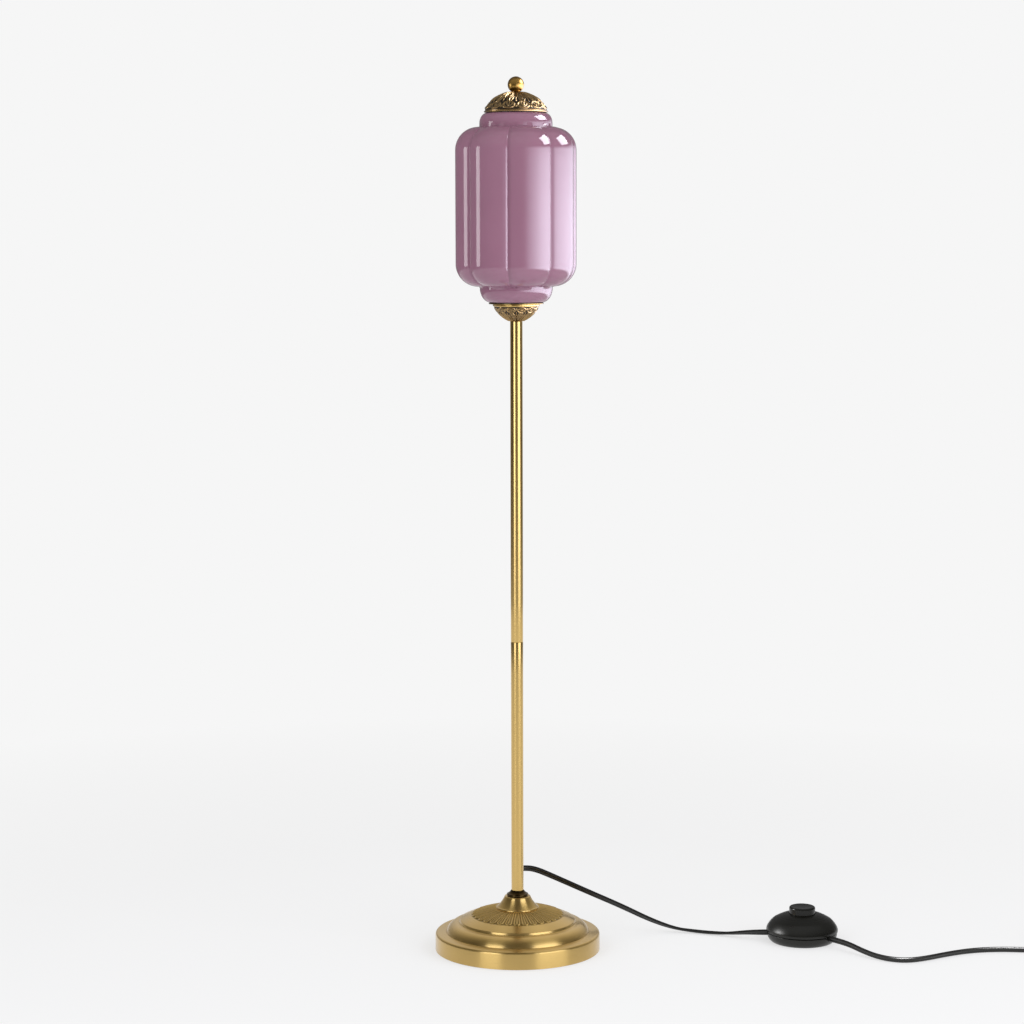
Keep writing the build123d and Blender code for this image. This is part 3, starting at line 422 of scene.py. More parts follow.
def brushed_metal(
    name, base, roughness, pattern, spread=0.05, bump=0.02, shade=0.1, anisotropy=0.0, lacquer=0.0
):
    """Metal with fine lines left by a wheel or a die. pattern is how many times per metre the lines
    repeat round or across, out from the axis, and up, and bump is their depth in millimetres. The
    hollows are painted darker, as painted shade, and the lacquer is worn out of them."""
    material, tree = start_material(name)
    where = add(tree, "TexCoord"), "Object"
    parts = add(tree, "SeparateXYZ", {"Vector": where})
    flat = add(tree, "CombineXYZ", {"X": (parts, "X"), "Y": (parts, "Y")})
    out = add(tree, "VectorMath", {0: flat}, operation="LENGTH")
    turn = add(tree, "Math", {0: (parts, "Y"), 1: (parts, "X")}, operation="ARCTAN2")
    polar = add(tree, "CombineXYZ", {"X": turn, "Y": (out, "Value"), "Z": (parts, "Z")})
    lines = noise(tree, add(tree, "VectorMath", {0: polar, 1: pattern}, operation="MULTIPLY"), 1.0, 3.0)
    mixed = add(tree, "Math", {0: lines, 1: noise(tree, where, 9.0, 2.0)}, operation="ADD")
    hollow = add(tree, "Attribute", attribute_name="hollow"), "Fac"
    plain = blend(tree, ramp(tree, lines, 0.3, 0.7, 1 - shade, 1.0), [c * 0.55 for c in base], base)
    look = {
        # Painted shade: the colour in the hollows goes down to 0.22 of the metal's
        "Base Color": blend(tree, ramp(tree, hollow, 0.0, 1.0, 0.0, 0.85), plain, [c * 0.22 for c in base]),
        "Metallic": 1.0,
        "Roughness": ramp(tree, mixed, 0.6, 1.4, roughness - spread, roughness + spread),
        "Normal": bumps(tree, 0.3, bump * mm, lines),
        "Tangent": add(tree, "Tangent", direction_type="RADIAL", axis="Z"),
        "Anisotropic": anisotropy,
        "Anisotropic Rotation": 0.25,
        "Coat Weight": ramp(tree, hollow, 0.0, 0.6, lacquer, 0.0),
        "Coat Roughness": 0.2,
    }
    return finished(material, look)


def patinated_brass(name, base, dark):
    """Cast brass that was darkened and then rubbed back: bright on the ridges, dark and dull in the
    hollows, with a grain of about 0.8 mm from the sand mould."""
    material, tree = start_material(name)
    where = add(tree, "TexCoord"), "Object"
    hollow = add(tree, "Attribute", attribute_name="hollow"), "Fac"
    stain = add(tree, "Math", {0: noise(tree, where, 60.0, 4.0), 1: 0.5}, operation="SUBTRACT")
    depth = add(tree, "Math", {0: stain, 1: 0.7, 2: hollow}, operation="MULTIPLY_ADD")
    look = {
        "Base Color": blend(tree, ramp(tree, depth, 0.15, 0.85, 0.0, 1.0), base, dark),
        "Metallic": 1.0,
        "Roughness": ramp(tree, depth, 0.1, 0.9, 0.27, 0.62),
        "Normal": bumps(tree, 0.35, 0.05 * mm, noise(tree, where, 1250.0, 2.0)),
        "Coat Weight": 0.5,
        "Coat Roughness": 0.15,
        "Coat IOR": 1.6,
    }
    return finished(material, look)


def cased_glass(name, casing, lining):
    """Blown glass of a clear mauve layer over white opal: deep colour under a hard gloss, a little light
    let through, and the slow waves of a mould about 60 mm apart. The inside is the opal's white."""
    material, tree = start_material(name)
    cloud = noise(tree, (add(tree, "TexCoord"), "Object"), 17.0, 2.0)
    inside = add(tree, "Attribute", attribute_name="hollow"), "Fac"
    layer = blend(tree, ramp(tree, cloud, 0.3, 0.7, 0.0, 0.22), casing, [c * 0.82 for c in casing])
    look = {
        "Base Color": blend(tree, inside, layer, lining),
        "Roughness": 0.045,
        "IOR": 1.52,
        "Subsurface Weight": 0.25,
        "Subsurface Radius": (1.0, 0.6, 0.85),
        "Subsurface Scale": 6 * mm,
        "Normal": bumps(tree, 0.2, 0.25 * mm, cloud),
    }
    return finished(material, look)


def moulded(name, base, roughness, grain, bump, ior=1.5, spread=0.06, sheen=0.0, gloss=0.5):
    """A material with an even grain, such as moulded plastic, rubber, felt or paint. grain is the size
    of its texture and bump its depth, in millimetres."""
    material, tree = start_material(name)
    where = add(tree, "TexCoord"), "Object"
    broad = noise(tree, where, 25.0, 3.0)
    tone = ramp(tree, broad, 0.3, 0.7, 0.0, 1.0)
    look = {
        "Base Color": blend(tree, tone, [c * 0.85 for c in base], [c * 1.12 for c in base]),
        "Roughness": ramp(tree, broad, 0.3, 0.7, roughness - spread, roughness + spread),
        "IOR": ior,
        "Specular IOR Level": gloss,
        "Normal": bumps(tree, 0.5, bump * mm, noise(tree, where, 1 / (grain * mm), 2.0)),
        "Sheen Weight": sheen,
    }
    return finished(material, look)


def finish(name):
    """The named finish, made the first time that a piece asks for it."""
    made = bpy.data.materials.get(name)
    if made:
        return made
    c = bpy.context.scene.lamp_finishes
    makers = {
        # Spun brass, satin brushed on the wheel and lacquered: rings 0.5 mm apart, soft broad gloss
        "spun brass": lambda: brushed_metal(
            name, c.brass, 0.31, (3, 2000, 2000), anisotropy=0.92, lacquer=0.45
        ),
        # Drawn brass tube with a fine satin polish: even gloss, faint lines along the tube
        "drawn brass": lambda: brushed_metal(
            name, c.brass, 0.2, (40, 10, 3), bump=0.002, shade=0.05, anisotropy=0.7, lacquer=0.6
        ),
        # Sand cast brass with rubbed patina
        "patinated brass": lambda: patinated_brass(name, c.antique, c.patina),
        # Brass ball turned and waxed over a brown patina: deep gold gloss
        "waxed brass": lambda: brushed_metal(
            name, linear("#A07C3B"), 0.32, (4, 900, 900), bump=0.01, lacquer=0.3
        ),
        # Bronzed steel pressing: dark brown metal, waxed gloss
        "bronzed steel": lambda: brushed_metal(name, c.bronze, 0.17, (3, 1500, 1500), bump=0.005),
        # Brass plate under the glass, gone dark with age: glossy
        "aged brass": lambda: brushed_metal(name, linear("#8E7A4C"), 0.16, (3, 900, 900), bump=0.005),
        # Turned brass screw parts, unlacquered
        "turned brass": lambda: brushed_metal(name, linear("#C6A55C"), 0.28, (3, 2500, 2500)),
        # Bright zinc plate on steel wire and nuts
        "zinc plate": lambda: brushed_metal(name, linear("#C3C4C0"), 0.32, (5, 900, 900), shade=0.2),
        # Nickel plate on the plug's pins and the lamp's screw shells: mirror bright
        "nickel plate": lambda: brushed_metal(name, linear("#D5D2C8"), 0.14, (4, 700, 700), bump=0.005),
        # Mauve cased opal glass, blown in a mould and fire polished
        "cased glass": lambda: cased_glass(name, c.glass, c.lining),
        # Frosted lamp bulb: white, soft gloss
        "frosted bulb": lambda: moulded(name, linear("#F1EEE4"), 0.35, 0.5, 0.01),
        # Grey iron, cast and painted: coarse skin of 3 mm
        "painted iron": lambda: moulded(name, linear("#3A3B3C"), 0.55, 3, 0.4),
        # Pressed wool felt: matt with a fuzz of 0.6 mm
        "pressed felt": lambda: moulded(name, linear("#23241F"), 0.95, 0.6, 0.3, sheen=0.5),
        # Dark silicone gasket
        "silicone": lambda: moulded(name, linear("#2A211C"), 0.4, 1, 0.02, ior=1.41),
        # Black rubber feet and bushing: dull, fine spark texture
        "black rubber": lambda: moulded(name, linear("#1D1D1B"), 0.5, 0.5, 0.05, ior=1.52),
        # Soft PVC sheath, extruded: semi gloss, faint drag lines
        "extruded PVC": lambda: moulded(name, c.flex, 0.33, 0.7, 0.03, ior=1.53),
        # ABS moulded with a fine spark texture of 0.4 mm: satin
        "moulded ABS": lambda: moulded(name, c.plastic, 0.31, 0.4, 0.03, ior=1.54, gloss=0.36),
        # The same ABS left polished by the mould, on the button
        "polished ABS": lambda: moulded(name, c.plastic, 0.24, 0.6, 0.01, ior=1.54, gloss=0.3),
        # Woven hook and loop band: loops 0.7 mm apart
        "woven band": lambda: moulded(name, linear("#1E1E20"), 0.85, 0.7, 0.25, sheen=0.4),
    }
    return makers[name]()


# Operators


class LampPiece:
    """What every operator of the lamp shares."""

    bl_options = {"REGISTER", "UNDO"}


class LAMP_OT_shade(LampPiece, bpy.types.Operator):
    """Blow the glass: drums set round the axis, joined to two necks"""

    bl_idname = "lamp.shade"
    bl_label = "Glass shade"

    # The corners of the lower and the upper neck, across and upright, and how far a neck goes on inside
    # the drums
    lower_corner = 15 * mm, 20 * mm
    upper_corner = 10 * mm, 14 * mm
    neck_overlap = 3 * mm
    # The mould's press into the creases: its depth, its width on the steep and on the broad side, and how
    # far out from the neck it is full
    press_depth = 1.2 * mm
    press_steep = 1.2 * mm
    press_broad = 3.1 * mm
    press_full = 8 * mm

    def wall(self, size, inset):
        """Rows of (height, drum radius, neck radius) from the lower hole to the upper one, for the wall's
        outside or, with an inset, its inside. A drum's end is a quarter circle of the shoulder's round, and
        a neck's corner is a quarter ellipse."""
        low, high = span("glass_shade")
        foot, head = low + size.lower_neck_height, high - size.upper_neck_height
        quarter = np.linspace(0, pi / 2, 22)
        rows = []
        wide, tall = (side - inset for side in self.lower_corner)
        for a in np.linspace(0, pi / 2, 14):
            radius = size.lower_neck - inset - wide * (1 - sin(a))
            rows.append((low + inset + tall * (1 - cos(a)), 0, radius))
        bulge = size.lobe_radius - size.shoulder
        round_in = size.shoulder - inset
        for a in quarter:
            rows.append((foot + inset + round_in * (1 - cos(a)), bulge + round_in * sin(a), 0))
        middle = np.linspace(rows[-1][0], head - inset - round_in, 12)[1:-1]
        rows += [(z, size.lobe_radius - inset, 0) for z in middle]
        for a in quarter[::-1]:
            rows.append((head - inset - round_in * (1 - cos(a)), bulge + round_in * sin(a), 0))
        rows.append((head + 1 * mm, 0, size.upper_neck - inset))
        wide, tall = (side - inset for side in self.upper_corner)
        for a in np.linspace(pi / 2, 0, 12):
            radius = size.upper_neck - inset - wide * (1 - sin(a))
            rows.append((high - inset - tall * (1 - cos(a)), 0, radius))
        z, drum, neck = np.array(rows).T
        near_foot = (neck == 0) & (z < foot + inset + self.neck_overlap)
        near_head = (neck == 0) & (z > head - inset - self.neck_overlap)
        neck = np.where(near_head, size.upper_neck - inset, neck)
        neck = np.where(near_foot, size.lower_neck - inset, neck)
        return z, drum, neck

    def sheet(self, size, inset):
        """For each row and angle, the distance from the axis is the greatest of the neck's radius and, for
        each drum, d cos a + sqrt(r^2 - d^2 sin^2 a), with a the angle from the drum's direction. The
        greatest is taken as k log(sum of exp(value / k)), which rounds the creases over about k. On the
        outside the mould presses each crease in by its depth times exp(-(distance / width)^2)."""
        z, drum, neck = self.wall(size, inset)
        step = 2 * pi / size.lobes
        t = np.linspace(-1, 1, 60, endpoint=False)
        u = (1.25 * t - 0.25 * t**3) * step / 2
        u = (size.lobe_turn + np.arange(size.lobes)[:, None] * step + u[None]).ravel()
        directions = size.lobe_turn + np.arange(size.lobes) * step
        a = u[None] - directions[:, None]
        reach = drum[:, None, None] ** 2 - (size.lobe_offset * np.sin(a))[None] ** 2
        out = size.lobe_offset * np.cos(a)[None] + np.sqrt(np.maximum(reach, 0))
        out = np.where((reach > 0) & (np.cos(a)[None] > 0) & (drum[:, None, None] > 0), out, 0)
        out = np.concatenate([out, np.broadcast_to(neck[:, None, None], (len(z), 1, len(u)))], 1)
        most = out.max(1, keepdims=True)
        k = size.crease
        neck_out = out[:, -1]
        out = (most + k * np.log(np.exp((out - most) / k).sum(1, keepdims=True)))[:, 0]
        from_crease = ((u - size.lobe_turn) % step - step / 2) * out
        width = np.where(from_crease > 0, self.press_broad, self.press_steep)
        press = self.press_depth * np.exp(-((from_crease / width) ** 2)) * (inset == 0)
        out -= press * np.clip((out - neck_out) / self.press_full, 0, 1) * (drum[:, None] > 0)
        return ringed(out, u, z[:, None])

    def execute(self, context):
        size = context.scene.lamp_shade
        wall, soft = size.wall, 0.8 * mm
        outer, inner = self.sheet(size, 0), self.sheet(size, wall)[::-1]
        u = np.arctan2(outer[0, :, 1], outer[0, :, 0])
        low_r, high_r = size.lower_hole, size.upper_hole
        low, high = outer[0, 0, 2], outer[-1, 0, 2]

        def rims(*places):
            return np.stack([ringed(r, u, z) for r, z in places])

        above = rims(
            (high_r + soft, high), (high_r, high - soft),
            (high_r, high - wall + soft), (high_r + soft, high - wall),
        )
        below = rims((low_r + soft, low + wall), (low_r, low + wall - soft), (low_r, low + soft))
        grid = np.vstack([rims((low_r + soft, low)), outer, above, inner, below])
        first = len(outer) + len(above)
        piece = surface("shade_glass", grid, crease=70, hollow=(first, np.ones(grid[first:].shape[:2])))
        place(piece, "shade", "cased_glass", "cased glass", "glass_shade", light=cast_light)
        return {"FINISHED"}


def cast_leaves(u, t, leaves):
    """Relief of cast leaves in the unit square, with its hollows. u is the angle and t goes from 0 at the
    rim to 1 at the crown. Low down, round shells stand side by side between beads; above, each leaf is
    a pointed outline with a stem and slanting veins, and small leaves fill the gaps. A ridge about the
    line d = 0 is exp(-(d / w)^2), and the highest ridge counts."""
    u, t = np.broadcast_arrays(u, t)
    a = (u * leaves / (2 * pi)) % 1 * 2 - 1
    b = (a + 2) % 2 - 1

    def ridge(d, w):
        return np.exp(-((d / w) ** 2))

    shell = np.hypot(a / 0.78, (t - 0.19) / 0.13)
    fan = np.cos(np.arctan2(t - 0.08, a * 0.35) * 9) * 0.25 + 0.3
    low = np.maximum.reduce([ridge(shell - 1, 0.16), (shell < 0.86) * fan, ridge(shell, 0.22)])
    low = np.maximum(low, ridge(np.hypot(b / 0.2, (t - 0.14) / 0.06), 0.8))
    width = 0.72 * np.sin(pi * np.clip((t - 0.3) / 0.72, 0, 1)) ** 0.6
    leaf = np.abs(a) - width
    vein = (t * 6 - np.abs(a) * 2.6) % 1 - 0.5
    high = np.maximum.reduce(
        [ridge(leaf, 0.09), ridge(a, 0.07), (leaf < -0.06) * (0.2 + 0.65 * ridge(vein, 0.2))]
    )
    slim = np.abs(b) - 0.3 * np.sin(pi * np.clip((t - 0.42) / 0.6, 0, 1))
    high = np.maximum.reduce([high, 0.9 * ridge(slim, 0.08), (slim < -0.05) * 0.2, 0.8 * ridge(b, 0.05)])
    upper = np.clip((t - 0.3) / 0.05, 0, 1)
    height = low * (1 - upper) + high * upper
    fade = np.clip(t / 0.03, 0, 1) * np.clip((1 - t) / 0.04, 0, 1)
    return height * fade, np.clip(1 - height * 1.6, 0, 1) * fade


def cast(line, leaves, per_leaf, depth, level):
    """A turned profile with leaves cast on it by depth times (relief - level), and their hollows."""
    reach = np.r_[0, np.cumsum(np.hypot(*np.diff(line, axis=0).T))]
    height, hollows = cast_leaves(around(leaves * per_leaf)[None], (reach / reach[-1])[:, None], leaves)
    return raised(line, depth * (height - level)), hollows


# The hole of the pieces that the threaded tube goes through
bore = 5.2 * mm


class LAMP_OT_cap(LampPiece, bpy.types.Operator):
    """Cast the cap over the glass, with leaves, a plain rim and the ball finial"""

    bl_idname = "lamp.cap"
    bl_label = "Cap and finial"

    def execute(self, context):
        size = context.scene.lamp_shade
        low, top = span("top_cap")
        rim, radius = low + 2.2 * mm, size.cap_radius
        middle = [(radius * r, low + (top - low) * h) for r, h in ((0.89, 0.376), (0.625, 0.774))]
        points = [(radius, rim), *middle, (9 * mm, top)]
        ways = [(0, 13 * mm), (-8.5 * mm, 12.5 * mm), (-15 * mm, 7.5 * mm), (-19 * mm, 0)]
        runs = [bend(points[i], points[i + 1], ways[i], ways[i + 1], 34)[:-1] for i in range(3)]
        grid, hollows = cast(np.vstack([*runs, points[-1]]), size.cap_leaves, 42, size.cap_relief, 0.8)
        columns = grid.shape[1]
        border = profile(
            (radius - 4.5 * mm, low), (radius, low), (radius + 0.3 * mm, low + 1.1 * mm), (radius, rim),
            closed=False,
        )
        crown = np.array(at(top, (7, 0.3), (3.3, 0.3)))
        under = profile(
            at(top, (3.3, -2), (9, -2.2), (26, -8.5), (36, -17)),
            (radius - 3 * mm, rim), (radius - 4.5 * mm, rim), closed=False,
        )
        rows = [turned(border[:-1], columns), grid, turned(crown, columns), turned(under, columns)]
        cap = surface("cap_casting", np.vstack(rows), hollow=(len(border) - 1, hollows), crease=60)
        place(cap, "cap", "antique_brass", "patinated brass", "top_cap", light=cast_light)

        foot, head = span("finial_ball")
        r = size.ball / 2
        centre = head - r - 0.6 * mm
        t = np.linspace(np.arcsin((foot - centre) / r), pi / 2 * 0.985, 40)
        ball = np.stack([r * np.cos(t), centre + r * np.sin(t)], 1)
        line = np.vstack([[(3.05 * mm, foot + 6 * mm), (3.05 * mm, foot)], ball])
        tips = (0, 0, foot + 6 * mm), (0, 0, centre + r)
        piece = surface("finial", turned(line, 72), tips)
        place(piece, "finial", "antique_brass", "waxed brass", "finial_ball", light=cast_light)
        return {"FINISHED"}


class LAMP_OT_gallery(LampPiece, bpy.types.Operator):
    """Cast the cup under the glass, with its ring and plate"""

    bl_idname = "lamp.gallery"
    bl_label = "Cup, ring and plate"

    def execute(self, context):
        size = context.scene.lamp_shade
        low, high = span("lower_cup")
        outside = arc((31.6 * mm, high), (25 * mm, low + 10.9 * mm), (9.4 * mm, low), 64)
        grid, hollows = cast(outside, size.cap_leaves, 30, -0.8 * size.cap_relief, 0.7)
        bowl = arc((8.4 * mm, low + 1.5 * mm), (23.8 * mm, low + 11.8 * mm), (30.1 * mm, high), 12)
        inside = np.vstack([[(bore, low), (bore, low + 1.5 * mm)], bowl])
        cup = surface(
            "cup_casting", np.vstack([grid, turned(inside, grid.shape[1])]), hollow=(0, hollows), crease=60
        )
        place(cup, "root", "antique_brass", "patinated brass", "lower_cup", light=cast_light)

        low, high = span("gallery_ring")
        edge = arc((30.6 * mm, low), (32.2 * mm, (low + high) / 2), (30.9 * mm, high), 12)
        ring = surface("gallery_bead", turned(profile((bore, low), edge, (bore, high)), 128))
        place(ring, "root", "satin_brass", "spun brass", "gallery_ring", light=ring_light)

        low, high = span("gallery_plate")
        edge = [(37.6 * mm, low), (37.6 * mm, high)]
        plate = surface("gallery_dish", turned(profile((bore, low), edge, (bore, high)), 128))
        place(plate, "root", "dark_bronze", "aged brass", "gallery_plate", light=ring_light)
        return {"FINISHED"}


class LAMP_OT_pole(LampPiece, bpy.types.Operator):
    """Draw the two tubes of the pole, the collar and the flared neck"""

    bl_idname = "lamp.pole"
    bl_label = "Pole and neck"

    wall = 1.2 * mm

    def execute(self, context):
        r = context.scene.lamp_stand.pole_radius
        for name, node in (("pole_lower_tube", "lower_pole"), ("pole_upper_tube", "upper_pole")):
            low, high = span(node)
            heights = np.linspace(low, high, 9)[1:-1]
            outside = np.stack([0 * heights + r, heights], 1)
            tube = profile(
                (r - self.wall, low), (r, low), outside, (r, high), (r - self.wall, high), soften=0.3 * mm
            )
            place(surface(name, turned(tube, 96)), "root", "satin_brass", "drawn brass", node)

        low, high = span("neck_collar")
        swell = arc(*at(low, (13.2, 0), (15, 1.6), (14.5, 3.2)), 12)
        slope = arc(*at(low, (14.5, 3.2), (11.25, 5.25)), (9.0 * mm, high), 12)
        line = profile((8.55 * mm, low), swell, slope, (8.55 * mm, high), soften=0.3 * mm)
        collar = surface("pole_collar", turned(line, 96))
        place(collar, "root", "dark_bronze", "bronzed steel", "neck_collar")

        low, high = span("neck_cone")
        bead = arc(*at(low, (28.2, 0), (29.8, 1.6), (28, 3.2)), 11)
        flare = arc(*at(low, (28, 3.2), (22.5, 9.6)), (18.4 * mm, high - 1.2 * mm), 24)
        lip = arc(*at(high, (18.4, -1.2), (17.92, -0.48), (17.2, 0)), 6)
        inside = (bore, high), (bore, high - 4 * mm), (14.4 * mm, high - 4 * mm), (24.6 * mm, low)
        line = profile(bead, flare, lip, inside, soften=0.3 * mm)
        place(surface("neck_flare", turned(line, 128)), "root", "satin_brass", "spun brass", "neck_cone")
        return {"FINISHED"}


class LAMP_OT_base(LampPiece, bpy.types.Operator):
    """Spin the stepped base and press the ring of petals into its dome"""

    bl_idname = "lamp.base"
    bl_label = "Base"

    # Where the dome's petals start, as a height
    dome_foot = 44 * mm

    def petals(self, size, u, r):
        """Ridges of the petals and the painted shade of their hollows. x is the distance across from a
        petal's middle line. A petal's edge is the line where |x| is flare times r, ended by a half circle;
        d is the distance outside it. Its rim is exp(-((d + 1 mm) / 0.85 mm)^2), with such a rib up the
        middle, flat hollows between the two, and slits between the petals. The second result is painted
        shade: it darkens the metal in the flat hollows and the slits."""
        cell = 2 * pi / size.petals
        x = ((u / cell + 0.6) % 1 - 0.5) * cell * r
        flare = 0.86 * sin(pi / size.petals)
        tip = size.petal_reach / (1 + flare)
        d = np.where(r < tip, np.abs(x) - flare * r, np.hypot(x, r - tip) - flare * tip)
        edge = np.exp(-(((d + 1 * mm) / (0.85 * mm)) ** 2))
        rib = np.exp(-((x / (0.8 * mm)) ** 2)) * np.clip(-(d + 2.4 * mm) / (0.8 * mm), 0, 1)
        beyond = np.clip((size.petal_reach + 1.5 * mm - r) / (3 * mm), 0, 1)
        slit = np.clip((d + 0.2 * mm) / (0.5 * mm), 0, 1) * beyond
        within = np.clip((r - 30 * mm) / (0.6 * mm), 0, 1) * (r < size.petal_reach + 3 * mm)
        ridge = np.maximum(edge, 0.9 * rib)
        inside = np.clip(-(d + 1 * mm) / (0.6 * mm), 0, 1) * (1 - ridge)
        height = (ridge - 0.5 * slit) * within
        # Painted shade: the slits and the flat hollows inside each petal are made darker
        hollow = np.clip(slit + 0.85 * inside, 0, 1) * within
        return height, hollow

    def execute(self, context):
        size = context.scene.lamp_stand
        big, w, top = size.base_radius, size.base_wall, 58 * mm
        wall_top = big, 21.8 * mm
        edge = arc(wall_top, *at(0, (113.97, 24.28), (111.5, 25.3)), 7)
        step = arc(*at(0, (100, 26), (93.6, 35.15), (83, 38.7)), 16)
        dome = arc(*at(0, (80.4, 42.6), (55.95, 52.1), (31.5, 58)), 76)
        outer = profile(
            (big, 1 * mm), wall_top, edge, (100 * mm, 26 * mm), step, at(0, (81.3, 39.6), (80.4, 42.6)),
            dome, (bore, top), soften=0.8 * mm, closed=False,
        )
        under_steps = np.array(at(0, (80, 42.1), (82, 37.6), (99, 25.5))) - w
        inner = profile(
            (bore, top - w), (31 * mm, top - w), under_steps, (big - w, 22.8 * mm),
            (big - w, 1 * mm), soften=0.4 * mm, closed=False,
        )
        u = around(size.petals * 28)[None]
        on_dome = outer[:, 1:] > self.dome_foot
        # hollows here is painted shade, which the spun brass shows as a darker colour
        height, hollows = (share * on_dome for share in self.petals(size, u, outer[:, :1]))
        grid = raised(outer, height * size.petal_relief)
        rows = np.vstack([grid, turned(inner, u.size)])
        shell = surface("base_spinning", rows, hollow=(0, hollows), crease=50)
        place(shell, "root", "satin_brass", "spun brass", "base_shell")
        return {"FINISHED"}


class LAMP_OT_switch(LampPiece, bpy.types.Operator):
    """Mould the foot switch: cover, lower shell and button"""

    bl_idname = "lamp.switch"
    bl_label = "Foot switch"

    def execute(self, context):
        s = context.scene.lamp_switch
        centre = (s.x, s.y)
        hole = s.button + 0.4 * mm
        start = np.array((s.radius, s.seam + 3 * mm))
        shoulder = np.array((s.radius * 0.8, s.seam + 17.5 * mm))
        side = bend(start, shoulder, (0, 11 * mm), (-13 * mm, 9 * mm), 24)
        crown = bend(shoulder, (hole, s.top), (-17 * mm, 10 * mm), (-24 * mm, 2.5 * mm), 24)
        outside = np.vstack([side[:-1], crown])
        for radius in (36 * mm, 33 * mm):
            outside[:, 1] -= 0.25 * mm * np.exp(-(((outside[:, 0] - radius) / (0.5 * mm)) ** 2))
        line = profile(
            (s.radius - 1.2 * mm, s.seam), (s.radius, s.seam + 0.6 * mm), outside,
            (hole, s.top - 2.2 * mm), (s.radius * 0.78, s.seam + 15 * mm),
            (s.radius - 2.2 * mm, s.seam + 3 * mm), (s.radius - 2.2 * mm, s.seam), soften=0.5 * mm,
        )
        cover = surface("switch_lid", turned(line, 128, centre))
        place(cover, "root", "black_plastic", "moulded ABS", "switch_cover", light=switch_light)

        top = s.seam - 0.8 * mm
        side = arc((43.6 * mm, 0.5 * mm), (47.4 * mm, 4.6 * mm), (s.radius - 1.2 * mm, top), 14)
        line = profile(
            at(0, (41, 1.6), (42, 0.5)), side, (s.radius - 3.4 * mm, top), at(0, (43.3, 5.8), (40.3, 3.8)),
            soften=0.4 * mm, closed=False,
        )
        tips = (*centre, 1.6 * mm), (*centre, 3.8 * mm)
        tray = surface("switch_tray", turned(line, 128, centre), tips)
        place(tray, "root", "black_plastic", "moulded ABS", "switch_base", light=switch_light)

        edge, top, flange, foot = s.button, s.button_top, 37.2 * mm, 34.2 * mm
        rim, middle = edge - 2.4 * mm, top - 0.8 * mm
        dish = arc((1 * mm, middle), (rim / 2, top - 0.6 * mm), (rim, top), 12)
        shoulder = arc((rim, top), (edge - 0.7 * mm, top - 0.7 * mm), (edge, top - 2.4 * mm), 10)
        wide = edge + 2.5 * mm
        line = profile(
            dish[:-1], shoulder, (edge, flange), (wide, flange), (wide, flange - 2 * mm),
            (8.7 * mm, flange - 2 * mm), (8.7 * mm, foot), soften=0.5 * mm, closed=False,
        )
        tips = (*centre, middle), (*centre, foot)
        button = surface("switch_cap", turned(line, 96, centre), tips)
        place(button, "button", "black_plastic", "polished ABS", "switch_button", light=switch_light)
        return {"FINISHED"}


